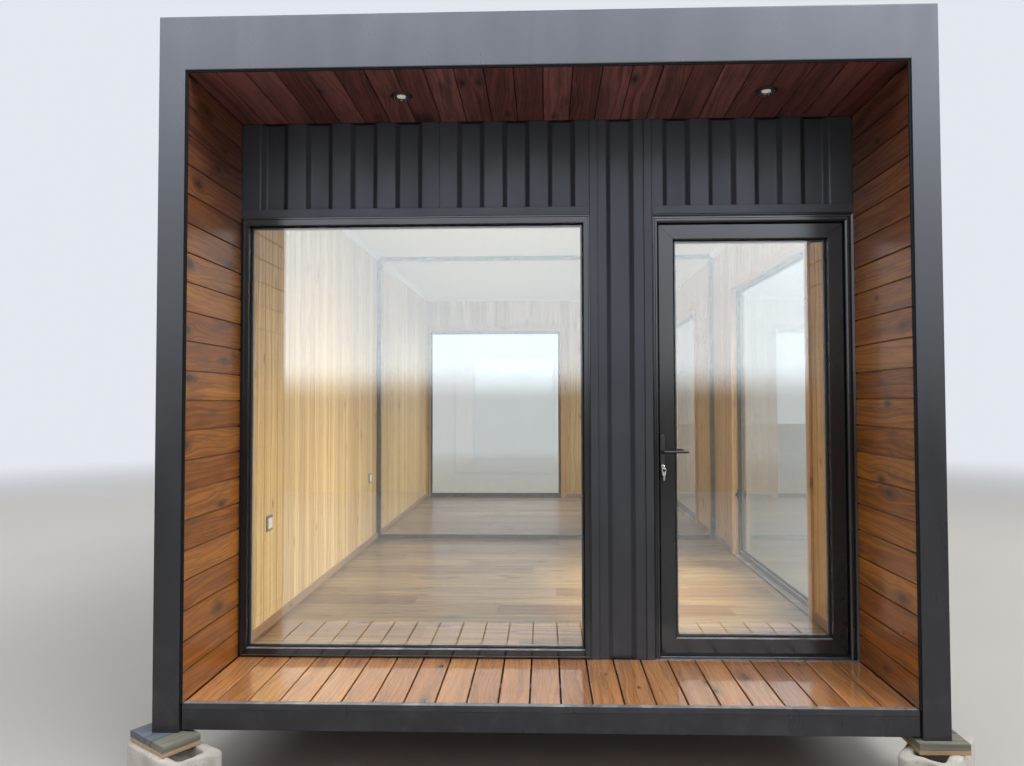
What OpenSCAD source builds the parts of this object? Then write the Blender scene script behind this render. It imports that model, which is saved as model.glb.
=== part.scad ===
// Shipping container cabin: a steel framed module with a covered porch, glazed front, lined room
// and a stand of hollow blocks. X runs left to right, the porch looks along -Y and Z points up.
// Depths (d) are measured back from the front face, heights (z) up from the frame's underside.

/* [Module] */
// Outside width of the steel frame
module_w = 3000; // [2700:10:3300]
// Outside length of the steel frame
module_l = 6055; // [5450:5:6650]
// Height of the steel frame
frame_h = 2766; // [2490:2:3040]
// Width of a square corner post
post = 104; // [90:1:120]
// Height of the fascia beams round the top
beam_h = 213; // [180:1:240]
// Height of the rails round the bottom
rail_h = 100; // [90:1:110]
// Gap between a rail's underside and the post's foot
rail_lift = 8; // [4:1:12]
// Set-back of the sills behind the posts' faces
sill_in = 8; // [4:1:12]
// Thickness of a sill's steel and of the flange in front of the deck
sill_t = 28; // [24:1:32]
// Thickness of the outside walls
wall_t = 95; // [90:1:110]

/* [Porch] */
// Depth of the porch, from the front face to the windows
porch_d = 521; // [450:1:900]
// Thickness of the boards on the porch walls
porch_board_t = 10; // [8:1:16]
// Thickness of the boards under the porch roof
soffit_t = 18; // [14:1:24]
// Thickness of the deck boards
deck_t = 28; // [20:1:30]
// Distance that the porch boards start behind the front face
reveal = 10; // [6:1:16]
// Radius of a spotlight's trim ring
spot_r = 47; // [35:1:55]
// Distance of the left spotlight from the left porch wall
spot_left = 790; // [500:5:1000]
// Distance of the right spotlight from the right porch wall
spot_right = 461; // [400:1:900]
// Depth of the spotlights behind the front face
spot_d = 250; // [150:5:350]

/* [Cladding] */
// Pitch of the trapezoid ribs
rib_pitch = 207; // [160:1:250]
// Width of a rib's slanting flank
flank_w = 22; // [16:1:30]
// Depth of a rib
rib_d = 25; // [18:1:30]
// Thickness of the sheet
sheet_t = 2; // [1:0.5:3]
// Set-back of the sheet's crests behind the frame
sheet_in = 5; // [2:1:10]
// Width of the first front sheet over the window
lap_w = 911; // [700:1:1000]
// Width of the ribbed strip between the window and the door, with its trims
middle_w = 283; // [255:1:320]
// Width of the trims beside the front window and the door
trim_w = 36; // [30:1:42]
// Height of the trims over them
trim_h = 40; // [34:1:48]

/* [Room] */
// Height of the room's floor over the deck
floor_step = 7; // [4:1:8]
// Thickness of the floor boards and panel
floor_t = 22; // [18:1:30]
// Space between the room's ceiling and the underside of the beams
ceiling_drop = 83; // [60:1:120]
// Thickness of the ceiling panel
ceiling_t = 12; // [9:1:20]
// Depth of the slim frame across the middle of the room
mid_d = 3360; // [3200:10:3500]
// Face width of that frame's bars
mid_w = 33; // [25:1:50]
// Depth of that frame's bars
mid_t = 40; // [30:1:60]
// Width and height of a socket plate
plate = 80; // [70:1:90]
// Thickness of a socket plate
plate_out = 9; // [6:1:12]
// Height of the socket plates
socket_z = 600; // [500:10:700]
// Distance of the first sockets from the front wall
socket_in = 297; // [200:1:400]
// Distance of the second socket in front of the middle frame
socket_mid = 280; // [200:1:400]

/* [Windows] */
// Gap between the porch wall and the front window
win_gap = 9; // [6:1:14]
// Height of the windows' frames over the deck
win_lift = 4; // [2:1:6]
// Height of the wall over the windows and the door
head_band = 453; // [380:1:540]
// Face width of a window frame's uprights
win_side = 30; // [25:1:40]
// Face width of a window frame's head and sill
win_head = 38; // [30:1:45]
// Depth of a window frame
win_t = 60; // [50:1:66]
// Thickness of a sealed pane
pane_t = 24; // [20:1:28]
// Wall between the front wall and the first side window
side_pier = 567; // [500:1:650]
// Wall between the second side window and the rear wall
rear_pier = 277; // [240:1:400]

/* [Door] */
// Width of the door frame
door_w = 898; // [850:1:990]
// Distance that the door frame reaches behind the porch wall
door_tuck = 2; // [0:1:4]
// Face width of the frame at the lock
jamb_lock = 24; // [20:1:30]
// Face width of the frame at the hinges and the head
jamb_hinge = 40; // [36:1:50]
// Overlap of the frame's lip in front of the leaf
lip_over = 13; // [12:1:16]
// Thickness of the frame's lip
lip_t = 12; // [8:1:16]
// Depth of the door frame
door_t = 75; // [68:1:82]
// Thickness of the door leaf
leaf_t = 58; // [45:1:58]
// Gap all round the leaf
leaf_gap = 5; // [5:1:8]
// Gap under the leaf
leaf_lift = 6; // [5:1:10]
// Width of the leaf's stiles beside the glass
stile = 82; // [60:1:95]
// Width of the leaf's bottom rail
bottom_rail = 80; // [70:1:110]
// Height of the lever handle over the deck
lever_h = 922; // [850:1:1000]
// Length of a lever, from its spindle
lever_l = 112; // [90:1:130]
// Distance of the spindle from the leaf's edge
backset = 25; // [22:1:35]

/* [Stand] */
// Length, width and height of a hollow concrete block
block = [390, 190, 190];
// Thickness of the block's sides and of its middle web
block_wall = 45; // [35:1:50]
// Thickness of the block's ends beside their hollows
block_end = 72; // [65:1:80]
// Depth of the round hollow in each end of the block
end_hollow = 45; // [30:1:48]
// Radius of the block's upright corners
block_corner = 35; // [20:1:40]
// Left front block: distance in from the frame's side, distance behind its front, turn in degrees
left_block = [100, -24, -35];
// Right front block: the same three values
right_block = [30, 51, 50];
// Left packers: the same three values
left_packer = [48, 10, -35];
// Right packers: the same three values
right_packer = [38, 63, 90];
// Widths of the left packer boards
left_boards = [160, 85];
// Widths of the right packer boards
right_boards = [88, 88];
// Length of the left and of the right packer boards
board_l = [145, 185];
// Thickness of the thin board under the packers
thin_t = 15; // [12:1:20]
// Total thickness of the timber packers
packer_h = 40; // [30:1:60]

/* [Hidden] */
$fn = 32;

stand_h = block[2] + packer_h;
half_w = module_w / 2;
half_l = module_l / 2;
beam_z = frame_h - beam_h;
rail_z = rail_lift + rail_h;

// Porch: clear half width, ceiling and deck
porch_half = half_w - post - porch_board_t;
porch_z = beam_z - soffit_t;
deck_z = rail_z;
deck_d0 = sill_in + sill_t;
spot_x = [-porch_half + spot_left, porch_half - spot_right];

// Door frame, and the window that takes the rest of the front
door_x1 = porch_half + door_tuck;
door_x0 = door_x1 - door_w;
win_x0 = -porch_half + win_gap;
win_w = door_x0 - middle_w - win_x0;
win_z0 = deck_z + win_lift;
win_z1 = beam_z - head_band;
win_h = win_z1 - win_z0;

// Room
wall_in = 7;
room_half = half_w - wall_t;
room_d0 = porch_d + door_t + wall_in;
room_d1 = module_l - post;
floor_z = deck_z + floor_step;
room_z = beam_z - ceiling_drop;
side_win_d = [room_d0 + side_pier, room_d1 - rear_pier - win_w];

// Cladding
panel_out = sheet_in + rib_d + sheet_t;
half_pitch = rib_pitch / 2;

steel = [0.16, 0.165, 0.175];
cladding_grey = [0.19, 0.20, 0.22];
frame_black = [0.10, 0.10, 0.11];
porch_wood = [0.45, 0.22, 0.12];
deck_wood = [0.62, 0.36, 0.20];
pine = [0.85, 0.66, 0.42];
laminate = [0.58, 0.47, 0.36];
white = [0.93, 0.93, 0.92];
clear = [0.75, 0.85, 0.85, 0.3];
silver = [0.75, 0.75, 0.76];
concrete = [0.66, 0.65, 0.62];

// A box between two limits across (x), back from the front face (d) and up from the frame's foot (z)
module slab(x, d, z) {
    translate([x[0], d[0] - half_l, z[0] + stand_h])
        cube([x[1] - x[0], d[1] - d[0], z[1] - z[0]]);
}

// The same piece at the left and the right
module both_sides() {
    children();
    mirror([1, 0, 0]) children();
}

// The same piece at the front and the back
module both_ends() {
    children();
    mirror([0, 1, 0]) children();
}

// Flank centres of a ribbed sheet between u0 and u1, counted from a first centre
function flanks(u0, u1, first) = [
    for (k = [ceil((u0 + flank_w - first) / half_pitch) : floor((u1 - flank_w - first) / half_pitch)])
        [first + k * half_pitch, k % 2 == 0 ? 0 : rib_d]
];

// Front line of the sheet: along, and back from the crests
function rib_line(u0, u1, f) = concat(
    [[u0, f[0][1]]],
    [for (c = f) each [[c[0] - flank_w / 2, c[1]], [c[0] + flank_w / 2, rib_d - c[1]]]],
    [[u1, rib_d - f[len(f) - 1][1]]]
);

// Closed section of the ribbed sheet
function rib_section(u0, u1, first) =
    let (line = rib_line(u0, u1, flanks(u0, u1, first)))
    concat(line, [for (i = [len(line) - 1 : -1 : 0]) line[i] + [0, sheet_t]]);

// Upright ribbed sheet facing the porch
module porch_sheet(x, z, first) {
    translate([0, porch_d + sheet_in - half_l, z[0] + stand_h])
        linear_extrude(height = z[1] - z[0])
            polygon(rib_section(x[0], x[1], first));
}

// Upright ribbed sheet along the right side
module side_sheet(d, z, first) {
    translate([half_w - sheet_in, -half_l, z[0] + stand_h])
        linear_extrude(height = z[1] - z[0])
            polygon([for (p = rib_section(d[0], d[1], first)) [-p[1], p[0]]]);
}

// Upright ribbed sheet across the back
module back_sheet(x, z, first) {
    translate([0, half_l - sheet_in, z[0] + stand_h])
        linear_extrude(height = z[1] - z[0])
            polygon([for (p = rib_section(x[0], x[1], first)) [p[0], -p[1]]]);
}

// Width and depth of the step that holds a pane in a window frame or in the door
bead = 10;
bead_in = 8;
margin = 1;

// A window frame with its glazing bead, drawn at its lower left outside corner
module window_frame() {
    difference() {
        cube([win_w, win_t, win_h]);
        translate([win_side - bead, -margin, win_head - bead])
            cube([win_w - 2 * (win_side - bead), bead_in + margin, win_h - 2 * (win_head - bead)]);
        translate([win_side, -margin, win_head])
            cube([win_w - 2 * win_side, win_t + 2 * margin, win_h - 2 * win_head]);
    }
}

// The sealed pane in a window frame
module window_pane() {
    translate([win_side, (win_t - pane_t) / 2, win_head])
        cube([win_w - 2 * win_side, pane_t, win_h - 2 * win_head]);
}

// Places a window in the front wall
module in_front_wall() {
    translate([win_x0, porch_d - half_l, win_z0 + stand_h]) children();
}

// Places a window in the right wall, starting at a depth
module in_right_wall(d) {
    translate([half_w - sheet_in, d - half_l, win_z0 + stand_h]) rotate([0, 0, 90]) children();
}

// Places a window in the back wall, behind the front one
module in_back_wall() {
    translate([win_x0 + win_w, half_l - sheet_in, win_z0 + stand_h]) rotate([0, 0, 180]) children();
}

// Steel frame
module corner_posts() {
    color(steel) both_sides() both_ends() slab([half_w - post, half_w], [0, post], [0, beam_z]);
}

module end_beams() {
    color(steel) both_ends() slab([-half_w, half_w], [0, post], [beam_z, frame_h]);
}

module roof_rails() {
    color(steel)
        both_sides() slab([half_w - post, half_w], [post, module_l - post], [beam_z, frame_h]);
}

// Ribbed roof sheet that lies between the roof rails, a little below their top
module roof_sheet() {
    roof_drop = 16;
    color(steel)
        translate([-half_w + post, -half_l, frame_h - roof_drop - rib_d + stand_h])
            rotate([90, 0, 90])
                linear_extrude(height = module_w - 2 * post)
                    polygon(rib_section(post, module_l - post, post + half_pitch / 2));
}

// Section of the front sill: a nosing over a groove, and a flange that holds the deck
function sill_section(flange, web, nose, groove) = [
    [sill_in, rail_lift], [sill_in, rail_z - nose - groove], [sill_in + groove, rail_z - nose - groove],
    [sill_in + groove, rail_z - nose], [sill_in, rail_z - nose], [sill_in, rail_z],
    [flange, rail_z], [flange, rail_z - deck_t], [web, rail_z - deck_t], [web, rail_lift]
];

module sill() {
    gap = 8;
    nose = 23;
    groove = 4;
    steel_t = 8;
    web = deck_d0 - 6;
    translate([-half_w + post + gap, -half_l, stand_h])
        rotate([90, 0, 90])
            linear_extrude(height = module_w - 2 * (post + gap))
                polygon(sill_section(deck_d0, web, nose, groove));
    slab([-half_w + post, half_w - post], [web - steel_t, web], [rail_lift, rail_z - deck_t]);
}

module end_sills() {
    color(steel) both_ends() sill();
}

module floor_rails() {
    color(steel)
        both_sides() slab([room_half, half_w], [post, module_l - post], [rail_lift, rail_z]);
}

// Cross members under the deck and the floor
module floor_joists() {
    joist_w = 50;
    count = 9;
    first = room_d0 + joist_w;
    last = room_d1 - joist_w;
    color(steel) {
        for (i = [0 : count])
            let (d = first + i * (last - first) / count)
                slab([-room_half, room_half], [d - joist_w / 2, d + joist_w / 2],
                    [rail_lift, floor_z - floor_t]);
        slab([-room_half, room_half], [porch_d / 2, porch_d / 2 + joist_w],
            [rail_lift, deck_z - deck_t]);
        slab([-room_half, room_half], [porch_d - joist_w, porch_d + joist_w],
            [rail_lift, deck_z - deck_t]);
    }
}

// Walls
module left_wall() {
    color(pine) slab([-half_w + panel_out, -room_half], [post, module_l - post], [rail_z, beam_z]);
}

module left_cladding() {
    color(cladding_grey)
        mirror([1, 0, 0]) side_sheet([post, module_l - post], [rail_z, beam_z], post + half_pitch / 2);
}

// Limits of the side windows along the wall
function side_win(i) = [side_win_d[i], side_win_d[i] + win_w];

module right_wall_piers() {
    x = [room_half, half_w - panel_out];
    color(pine) {
        slab(x, [post, side_win(0)[0]], [rail_z, beam_z]);
        slab(x, [side_win(0)[1], side_win(1)[0]], [rail_z, beam_z]);
        slab(x, [side_win(1)[1], module_l - post], [rail_z, beam_z]);
    }
}

module right_wall_bands() {
    x = [room_half, half_w - panel_out];
    color(pine)
        for (i = [0 : 1]) {
            slab(x, side_win(i), [rail_z, win_z0]);
            slab(x, side_win(i), [win_z1, beam_z]);
        }
}

module right_cladding() {
    color(cladding_grey)
        difference() {
            side_sheet([post, module_l - post], [rail_z, beam_z], post + half_pitch / 2);
            for (i = [0 : 1])
                slab([half_w - panel_out - margin, half_w], side_win(i), [win_z0, win_z1]);
        }
}

module rear_wall_piers() {
    d = [room_d1, module_l - panel_out];
    color(pine) {
        slab([-half_w + post, win_x0], d, [rail_z, beam_z]);
        slab([win_x0 + win_w, half_w - post], d, [rail_z, beam_z]);
    }
}

module rear_wall_bands() {
    d = [room_d1, module_l - panel_out];
    color(pine) {
        slab([win_x0, win_x0 + win_w], d, [rail_z, win_z0]);
        slab([win_x0, win_x0 + win_w], d, [win_z1, beam_z]);
    }
}

module rear_cladding() {
    color(cladding_grey)
        difference() {
            back_sheet([-half_w + post, half_w - post], [rail_z, beam_z], -half_w + post + half_pitch / 2);
            slab([win_x0, win_x0 + win_w], [module_l - panel_out - margin, module_l],
                [win_z0, win_z1]);
        }
}

module front_wall_piers() {
    color(pine) {
        slab([-room_half, win_x0], [porch_d, room_d0], [deck_z, win_z1]);
        slab([win_x0 + win_w, door_x0], [porch_d + panel_out, room_d0], [deck_z, win_z1]);
        slab([door_x1, room_half], [porch_d, room_d0], [deck_z, win_z1]);
    }
}

module front_wall_bands() {
    color(pine) {
        slab([-room_half, room_half], [porch_d + panel_out, room_d0], [win_z1, beam_z]);
        slab([-room_half, door_x0], [porch_d, room_d0], [deck_z - deck_t, deck_z]);
    }
}

// Narrow joint between sheets and trims, and the strip between the two upright trims
joint = 1;
middle_x = [win_x0 + win_w + joint + trim_w, door_x0 - 2 * joint - trim_w];

// Ribbed sheets over the window, between it and the door, and over the door
module front_cladding() {
    first_rib = 96;
    lap_rib = 91;
    middle_rib = 50;
    door_rib = 60;
    lap_x = -porch_half + lap_w;
    over_z = [win_z1 + trim_h, porch_z];
    color(cladding_grey) {
        porch_sheet([-porch_half, lap_x - joint], over_z, -porch_half + first_rib);
        porch_sheet([lap_x + joint, win_x0 + win_w], over_z, lap_x + lap_rib);
        porch_sheet(middle_x, [deck_z, porch_z], middle_x[0] + middle_rib);
        porch_sheet([door_x0, porch_half], over_z, door_x0 + door_rib);
    }
}

// Trims beside and over the front window and the door
module front_trims() {
    proud = 2;
    d = [porch_d - proud, porch_d + sheet_in + rib_d - joint];
    z = [win_z1 + joint, win_z1 + trim_h - joint];
    color(steel) {
        slab([middle_x[0] - trim_w, middle_x[0] - joint], d, [deck_z, porch_z]);
        slab([middle_x[1] + joint, middle_x[1] + trim_w], d, [deck_z, porch_z]);
        slab([-porch_half, win_x0 + win_w], d, z);
        slab([door_x0, porch_half], d, z);
    }
}

// Porch
module porch_deck() {
    color(deck_wood) slab([-porch_half, porch_half], [deck_d0, porch_d], [deck_z - deck_t, deck_z]);
}

module porch_wall_left() {
    color(porch_wood) slab([-half_w + post, -porch_half], [reveal, porch_d], [deck_z, porch_z]);
}

module porch_wall_right() {
    color(porch_wood) slab([porch_half, half_w - post], [reveal, porch_d], [deck_z, porch_z]);
}

module porch_ceiling() {
    color(porch_wood)
        difference() {
            slab([-half_w + post, half_w - post], [reveal, porch_d + panel_out], [porch_z, beam_z]);
            for (x = spot_x)
                translate([x, spot_d - half_l, porch_z + stand_h - margin])
                    cylinder(r = spot_r - 8, h = soffit_t + 2 * margin);
        }
}

// Black strips that close the joint between the steel and the boards
module porch_edge_strips() {
    d = [2, reveal];
    color(frame_black) {
        both_sides() slab([porch_half + joint, half_w - post], d, [deck_z, porch_z + joint]);
        slab([-half_w + post, half_w - post], d, [porch_z + joint, beam_z]);
    }
}

// Spotlight: a trim ring under the boards and a lamp set up into it
ring_t = 4;

module spotlight() {
    lamp_r = 25;
    lamp_in = 5;
    cup_r = spot_r - 9;
    cup_h = 14;
    rotate_extrude()
        polygon([[lamp_r, 0], [spot_r, 0], [spot_r, ring_t], [cup_r, ring_t], [cup_r, cup_h],
            [lamp_r, cup_h]]);
    translate([0, 0, lamp_in]) cylinder(r = lamp_r, h = cup_h - lamp_in);
}

module spotlights() {
    color(silver)
        for (x = spot_x)
            translate([x, spot_d - half_l, porch_z + stand_h - ring_t]) spotlight();
}

// Windows
module front_window_frame() {
    color(frame_black) in_front_wall() window_frame();
}

module front_window_glass() {
    color(clear) in_front_wall() window_pane();
}

module room_window_frames() {
    color(frame_black) {
        for (d = side_win_d) in_right_wall(d) window_frame();
        in_back_wall() window_frame();
    }
}

module room_window_glass() {
    color(clear) {
        for (d = side_win_d) in_right_wall(d) window_pane();
        in_back_wall() window_pane();
    }
}

// Door frame: a lip in front of the leaf and a body round its edges
leaf_x0 = door_x0 + jamb_lock - lip_over + leaf_gap;
leaf_x1 = door_x1 - jamb_hinge + lip_over - leaf_gap;
leaf_z0 = floor_z + leaf_lift;
leaf_z1 = win_z1 - jamb_hinge + lip_over - leaf_gap;
leaf_d0 = porch_d + lip_t + leaf_gap;
leaf_d1 = leaf_d0 + leaf_t;
lever_x = leaf_x0 + backset;
lever_z = deck_z + lever_h;

// Hinge knuckles and their pins
knuckle_r = 8;
knuckle_h = 34;
pin_r = 4;
hinge_x = leaf_x1 + 3;
hinge_d = leaf_d1 + knuckle_r;
hinge_low = 180;
hinge_top = 220;
hinge_at = [leaf_z0 + hinge_low, (leaf_z0 + leaf_z1) / 2, leaf_z1 - hinge_top];

module door_jambs() {
    color(frame_black) {
        slab([door_x0, door_x0 + jamb_lock], [porch_d, porch_d + lip_t], [floor_z, win_z1]);
        slab([door_x0, door_x0 + jamb_lock - lip_over], [porch_d, porch_d + door_t], [floor_z, win_z1]);
        slab([door_x1 - jamb_hinge, door_x1], [porch_d, porch_d + lip_t], [floor_z, win_z1]);
        slab([door_x1 - jamb_hinge + lip_over, door_x1], [porch_d, porch_d + door_t], [floor_z, win_z1]);
    }
}

module door_head() {
    inside = [door_x0 + jamb_lock - lip_over, door_x1 - jamb_hinge + lip_over];
    front = [door_x0 + jamb_lock, door_x1 - jamb_hinge];
    color(frame_black) {
        slab(front, [porch_d, porch_d + lip_t], [win_z1 - jamb_hinge, win_z1]);
        slab(inside, [porch_d + lip_t, porch_d + door_t], [win_z1 - jamb_hinge + lip_over, win_z1]);
    }
}

module door_threshold() {
    color(silver)
        slab([door_x0, door_x1], [porch_d, room_d0], [deck_z - deck_t, floor_z]);
}

// Door leaf and all that turns with it
glass_x = [leaf_x0 + stile, leaf_x1 - stile];
glass_z = [leaf_z0 + bottom_rail, leaf_z1 - stile];

module door_leaf() {
    color(frame_black)
        difference() {
            slab([leaf_x0, leaf_x1], [leaf_d0, leaf_d1], [leaf_z0, leaf_z1]);
            slab(glass_x, [leaf_d0 - margin, leaf_d1 + margin], glass_z);
            slab([glass_x[0] - bead, glass_x[1] + bead], [leaf_d0 - margin, leaf_d0 + bead_in],
                [glass_z[0] - bead, glass_z[1] + bead]);
            translate([lever_x, leaf_d0 - margin - half_l, lever_z + stand_h])
                rotate([-90, 0, 0])
                    cylinder(r = spindle_r + run_gap, h = leaf_t + 2 * margin);
        }
}

module door_glass() {
    d = (leaf_d0 + leaf_d1 - pane_t) / 2;
    color(clear) slab(glass_x, [d, d + pane_t], glass_z);
}

// Spindle and necks of the levers, and their running gap
spindle_r = 4.5;
neck_r = 9;
run_gap = 0.3;

// Long plates outside and inside, with the lock cylinder and its key below the lever
plate_w = 24;
plate_t = 8;
plate_low = 110;
plate_top = 77;
plate_z = [lever_z - plate_low, lever_z + plate_top];
lock_z = lever_z - 85;

module door_plate() {
    translate([lever_x, -half_l, stand_h])
        difference() {
            hull()
                for (z = [plate_z[0] + plate_w / 2, plate_z[1] - plate_w / 2])
                    translate([0, 0, z]) rotate([90, 0, 0]) cylinder(r = plate_w / 2, h = plate_t);
            translate([0, margin, lever_z])
                rotate([90, 0, 0]) cylinder(r = neck_r + run_gap, h = plate_t + 2 * margin);
        }
}

// Two door plates, the lock cylinder, the key in it, and a second key that hangs from its ring
module door_plates() {
    key_t = 2;
    color(frame_black) {
        translate([0, leaf_d0, 0]) door_plate();
        translate([0, leaf_d1 + plate_t, 0]) door_plate();
    }
    color(silver)
        translate([lever_x, leaf_d0 - plate_t - half_l, lock_z + stand_h]) {
            rotate([90, 0, 0]) cylinder(r = 8, h = 3);
            translate([-key_t / 2, -24, -4]) cube([key_t, 22, 8]);
            translate([-key_t / 2, -34, -10]) cube([key_t, 12, 20]);
            translate([0, -30, -18]) rotate([90, 0, 0]) rotate_extrude() translate([11, 0]) circle(r = 1);
            translate([-8, -31, -50]) cube([16, key_t, 22]);
            translate([-3.5, -31, -75]) cube([7, key_t, 26]);
        }
}

// Lever handles outside and inside on one spindle
module door_levers() {
    bar_r = 7;
    reach = 44;
    color(frame_black)
        translate([lever_x, -half_l, lever_z + stand_h]) {
            translate([0, leaf_d0 - reach, 0])
                rotate([-90, 0, 0]) cylinder(r = spindle_r, h = leaf_t + 2 * reach);
            for (d = [leaf_d0 - reach, leaf_d1 + reach - bar_r * 2])
                translate([0, d + bar_r, 0]) {
                    rotate([0, 90, 0]) cylinder(r = bar_r, h = lever_l);
                    sphere(r = bar_r);
                }
            translate([0, leaf_d0 - reach + bar_r, 0])
                rotate([-90, 0, 0]) cylinder(r = neck_r, h = reach - bar_r - run_gap);
            translate([0, leaf_d1 + run_gap, 0])
                rotate([-90, 0, 0]) cylinder(r = neck_r, h = reach - bar_r - run_gap);
        }
}

// Hinges: the lower knuckles and the pins on the frame, the upper knuckles on the leaf
flap_t = 4;
cap_t = 4;

module leaf_hinges() {
    flap_w = 34;
    color(frame_black)
        for (z = hinge_at)
            difference() {
                union() {
                    translate([hinge_x, hinge_d - half_l, z + run_gap + stand_h])
                        cylinder(r = knuckle_r, h = knuckle_h);
                    slab([hinge_x - flap_w, hinge_x], [leaf_d1, leaf_d1 + flap_t],
                        [z + run_gap, z + run_gap + knuckle_h]);
                }
                translate([hinge_x, hinge_d - half_l, z + stand_h])
                    cylinder(r = pin_r + run_gap, h = knuckle_h - cap_t);
            }
}

module frame_hinges() {
    flap_d = porch_d + door_t;
    color(frame_black)
        for (z = hinge_at) {
            translate([hinge_x, hinge_d - half_l, z - knuckle_h + stand_h])
                cylinder(r = knuckle_r, h = knuckle_h);
            translate([hinge_x, hinge_d - half_l, z + stand_h])
                cylinder(r = pin_r, h = knuckle_h - 2 * cap_t);
            slab([hinge_x, door_x1 - cap_t], [flap_d, flap_d + flap_t], [z - knuckle_h, z]);
        }
}

// Room
module room_floor() {
    color(laminate)
        slab([-room_half, room_half], [room_d0, room_d1], [floor_z - floor_t, floor_z]);
}

module room_ceiling() {
    color(white)
        slab([-room_half, room_half], [room_d0, room_d1], [room_z, room_z + ceiling_t]);
}

module mid_frame_posts() {
    color(frame_black)
        both_sides()
            slab([room_half - mid_w, room_half], [mid_d, mid_d + mid_t], [floor_z, room_z]);
}

module mid_frame_bars() {
    x = [-room_half + mid_w, room_half - mid_w];
    color(frame_black) {
        slab(x, [mid_d, mid_d + mid_t], [floor_z, floor_z + mid_w]);
        slab(x, [mid_d, mid_d + mid_t], [room_z - mid_w, room_z]);
    }
}

// Switch and socket plates on the left wall
module socket_plates() {
    x = [-room_half, -room_half + plate_out];
    z = [socket_z, socket_z + plate];
    d = [room_d0 + socket_in, mid_d - socket_mid];
    color(white) {
        slab(x, [d[0], d[0] + 2 * plate], z);
        slab(x, [d[1], d[1] + plate], z);
    }
}

// Stand: a hollow block with a round hollow in each end, as two of them form one more core
module hollow_block() {
    width = block[1] - 2 * block_wall;
    radius = (pow(width / 2, 2) + pow(end_hollow, 2)) / (2 * end_hollow);
    core = (block[0] - block_wall) / 2 - block_end;
    difference() {
        linear_extrude(height = block[2])
            offset(r = block_corner)
                square([block[0] - 2 * block_corner, block[1] - 2 * block_corner], center = true);
        for (side = [-1, 1]) {
            translate([side * (block_wall + core) / 2, 0, block[2] / 2])
                cube([core, width, block[2] + 2 * margin], center = true);
            translate([side * (block[0] / 2 + radius - end_hollow), 0, -margin])
                cylinder(r = radius, h = block[2] + 2 * margin);
        }
    }
}

// Two boards side by side on a thin one
module packer(boards, length) {
    width = boards[0] + boards[1];
    translate([-width / 2, -length / 2, 0]) {
        cube([width, length, thin_t]);
        translate([0, 0, thin_t]) cube([boards[0] - joint, length, packer_h - thin_t]);
        translate([boards[0] + joint, 0, thin_t])
            cube([boards[1] - joint, length, packer_h - thin_t]);
    }
}

// A piece under one front corner, on the left with side -1 and on the right with side 1
module under_corner(side, place, z) {
    translate([side * (half_w - place[0]), place[1] - half_l, z])
        rotate([0, 0, place[2]]) children();
}

// The rear pair is the front pair turned half round
module concrete_blocks() {
    color(concrete)
        for (end = [0, 180]) rotate([0, 0, end]) {
            under_corner(-1, left_block, 0) hollow_block();
            under_corner(1, right_block, 0) hollow_block();
        }
}

module timber_packers() {
    color(pine)
        for (end = [0, 180]) rotate([0, 0, end]) {
            under_corner(-1, left_packer, block[2]) packer(left_boards, board_l[0]);
            under_corner(1, right_packer, block[2]) packer(right_boards, board_l[1]);
        }
}

corner_posts();
end_beams();
roof_rails();
roof_sheet();
end_sills();
floor_rails();
floor_joists();
left_wall();
left_cladding();
right_wall_piers();
right_wall_bands();
right_cladding();
rear_wall_piers();
rear_wall_bands();
rear_cladding();
front_wall_piers();
front_wall_bands();
front_cladding();
front_trims();
porch_deck();
porch_wall_left();
porch_wall_right();
porch_ceiling();
porch_edge_strips();
spotlights();
front_window_frame();
front_window_glass();
room_window_frames();
room_window_glass();
door_jambs();
door_head();
door_threshold();
door_leaf();
door_glass();
door_plates();
door_levers();
leaf_hinges();
frame_hinges();
room_floor();
room_ceiling();
mid_frame_posts();
mid_frame_bars();
socket_plates();
concrete_blocks();
timber_packers();
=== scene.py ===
# %% [markdown]
# Shipping container cabin, dressed in Blender.
# The drawing gives the places and the main sizes. Here they get boards, sheets, glass and paint.
# Each step says what a piece is on the real cabin, how it could be made, and why this way was chosen.

# %% Load the frame
import math

import bmesh
import bpy
import numpy as np
from mathutils import Matrix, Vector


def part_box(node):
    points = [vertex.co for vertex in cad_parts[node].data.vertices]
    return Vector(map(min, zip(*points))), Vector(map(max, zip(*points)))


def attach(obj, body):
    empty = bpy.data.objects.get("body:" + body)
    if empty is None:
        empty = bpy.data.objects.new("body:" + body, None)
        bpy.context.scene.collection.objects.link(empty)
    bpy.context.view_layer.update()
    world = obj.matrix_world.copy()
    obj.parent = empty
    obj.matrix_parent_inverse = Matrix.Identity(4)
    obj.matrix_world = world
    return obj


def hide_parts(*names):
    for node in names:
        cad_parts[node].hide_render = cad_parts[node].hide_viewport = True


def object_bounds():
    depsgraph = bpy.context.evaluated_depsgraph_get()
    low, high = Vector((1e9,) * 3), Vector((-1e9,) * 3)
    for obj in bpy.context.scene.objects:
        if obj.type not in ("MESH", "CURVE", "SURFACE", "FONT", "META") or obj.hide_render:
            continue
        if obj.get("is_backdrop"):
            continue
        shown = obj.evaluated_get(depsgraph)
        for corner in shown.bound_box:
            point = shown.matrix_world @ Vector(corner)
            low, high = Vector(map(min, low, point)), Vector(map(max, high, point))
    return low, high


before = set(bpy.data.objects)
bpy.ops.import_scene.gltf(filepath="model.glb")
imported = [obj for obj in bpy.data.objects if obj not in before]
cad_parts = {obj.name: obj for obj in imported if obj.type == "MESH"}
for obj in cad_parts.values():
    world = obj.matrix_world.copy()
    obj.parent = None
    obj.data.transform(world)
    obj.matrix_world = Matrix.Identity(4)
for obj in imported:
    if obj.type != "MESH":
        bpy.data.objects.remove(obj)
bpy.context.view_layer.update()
X, Y, Z = np.eye(3)

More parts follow.
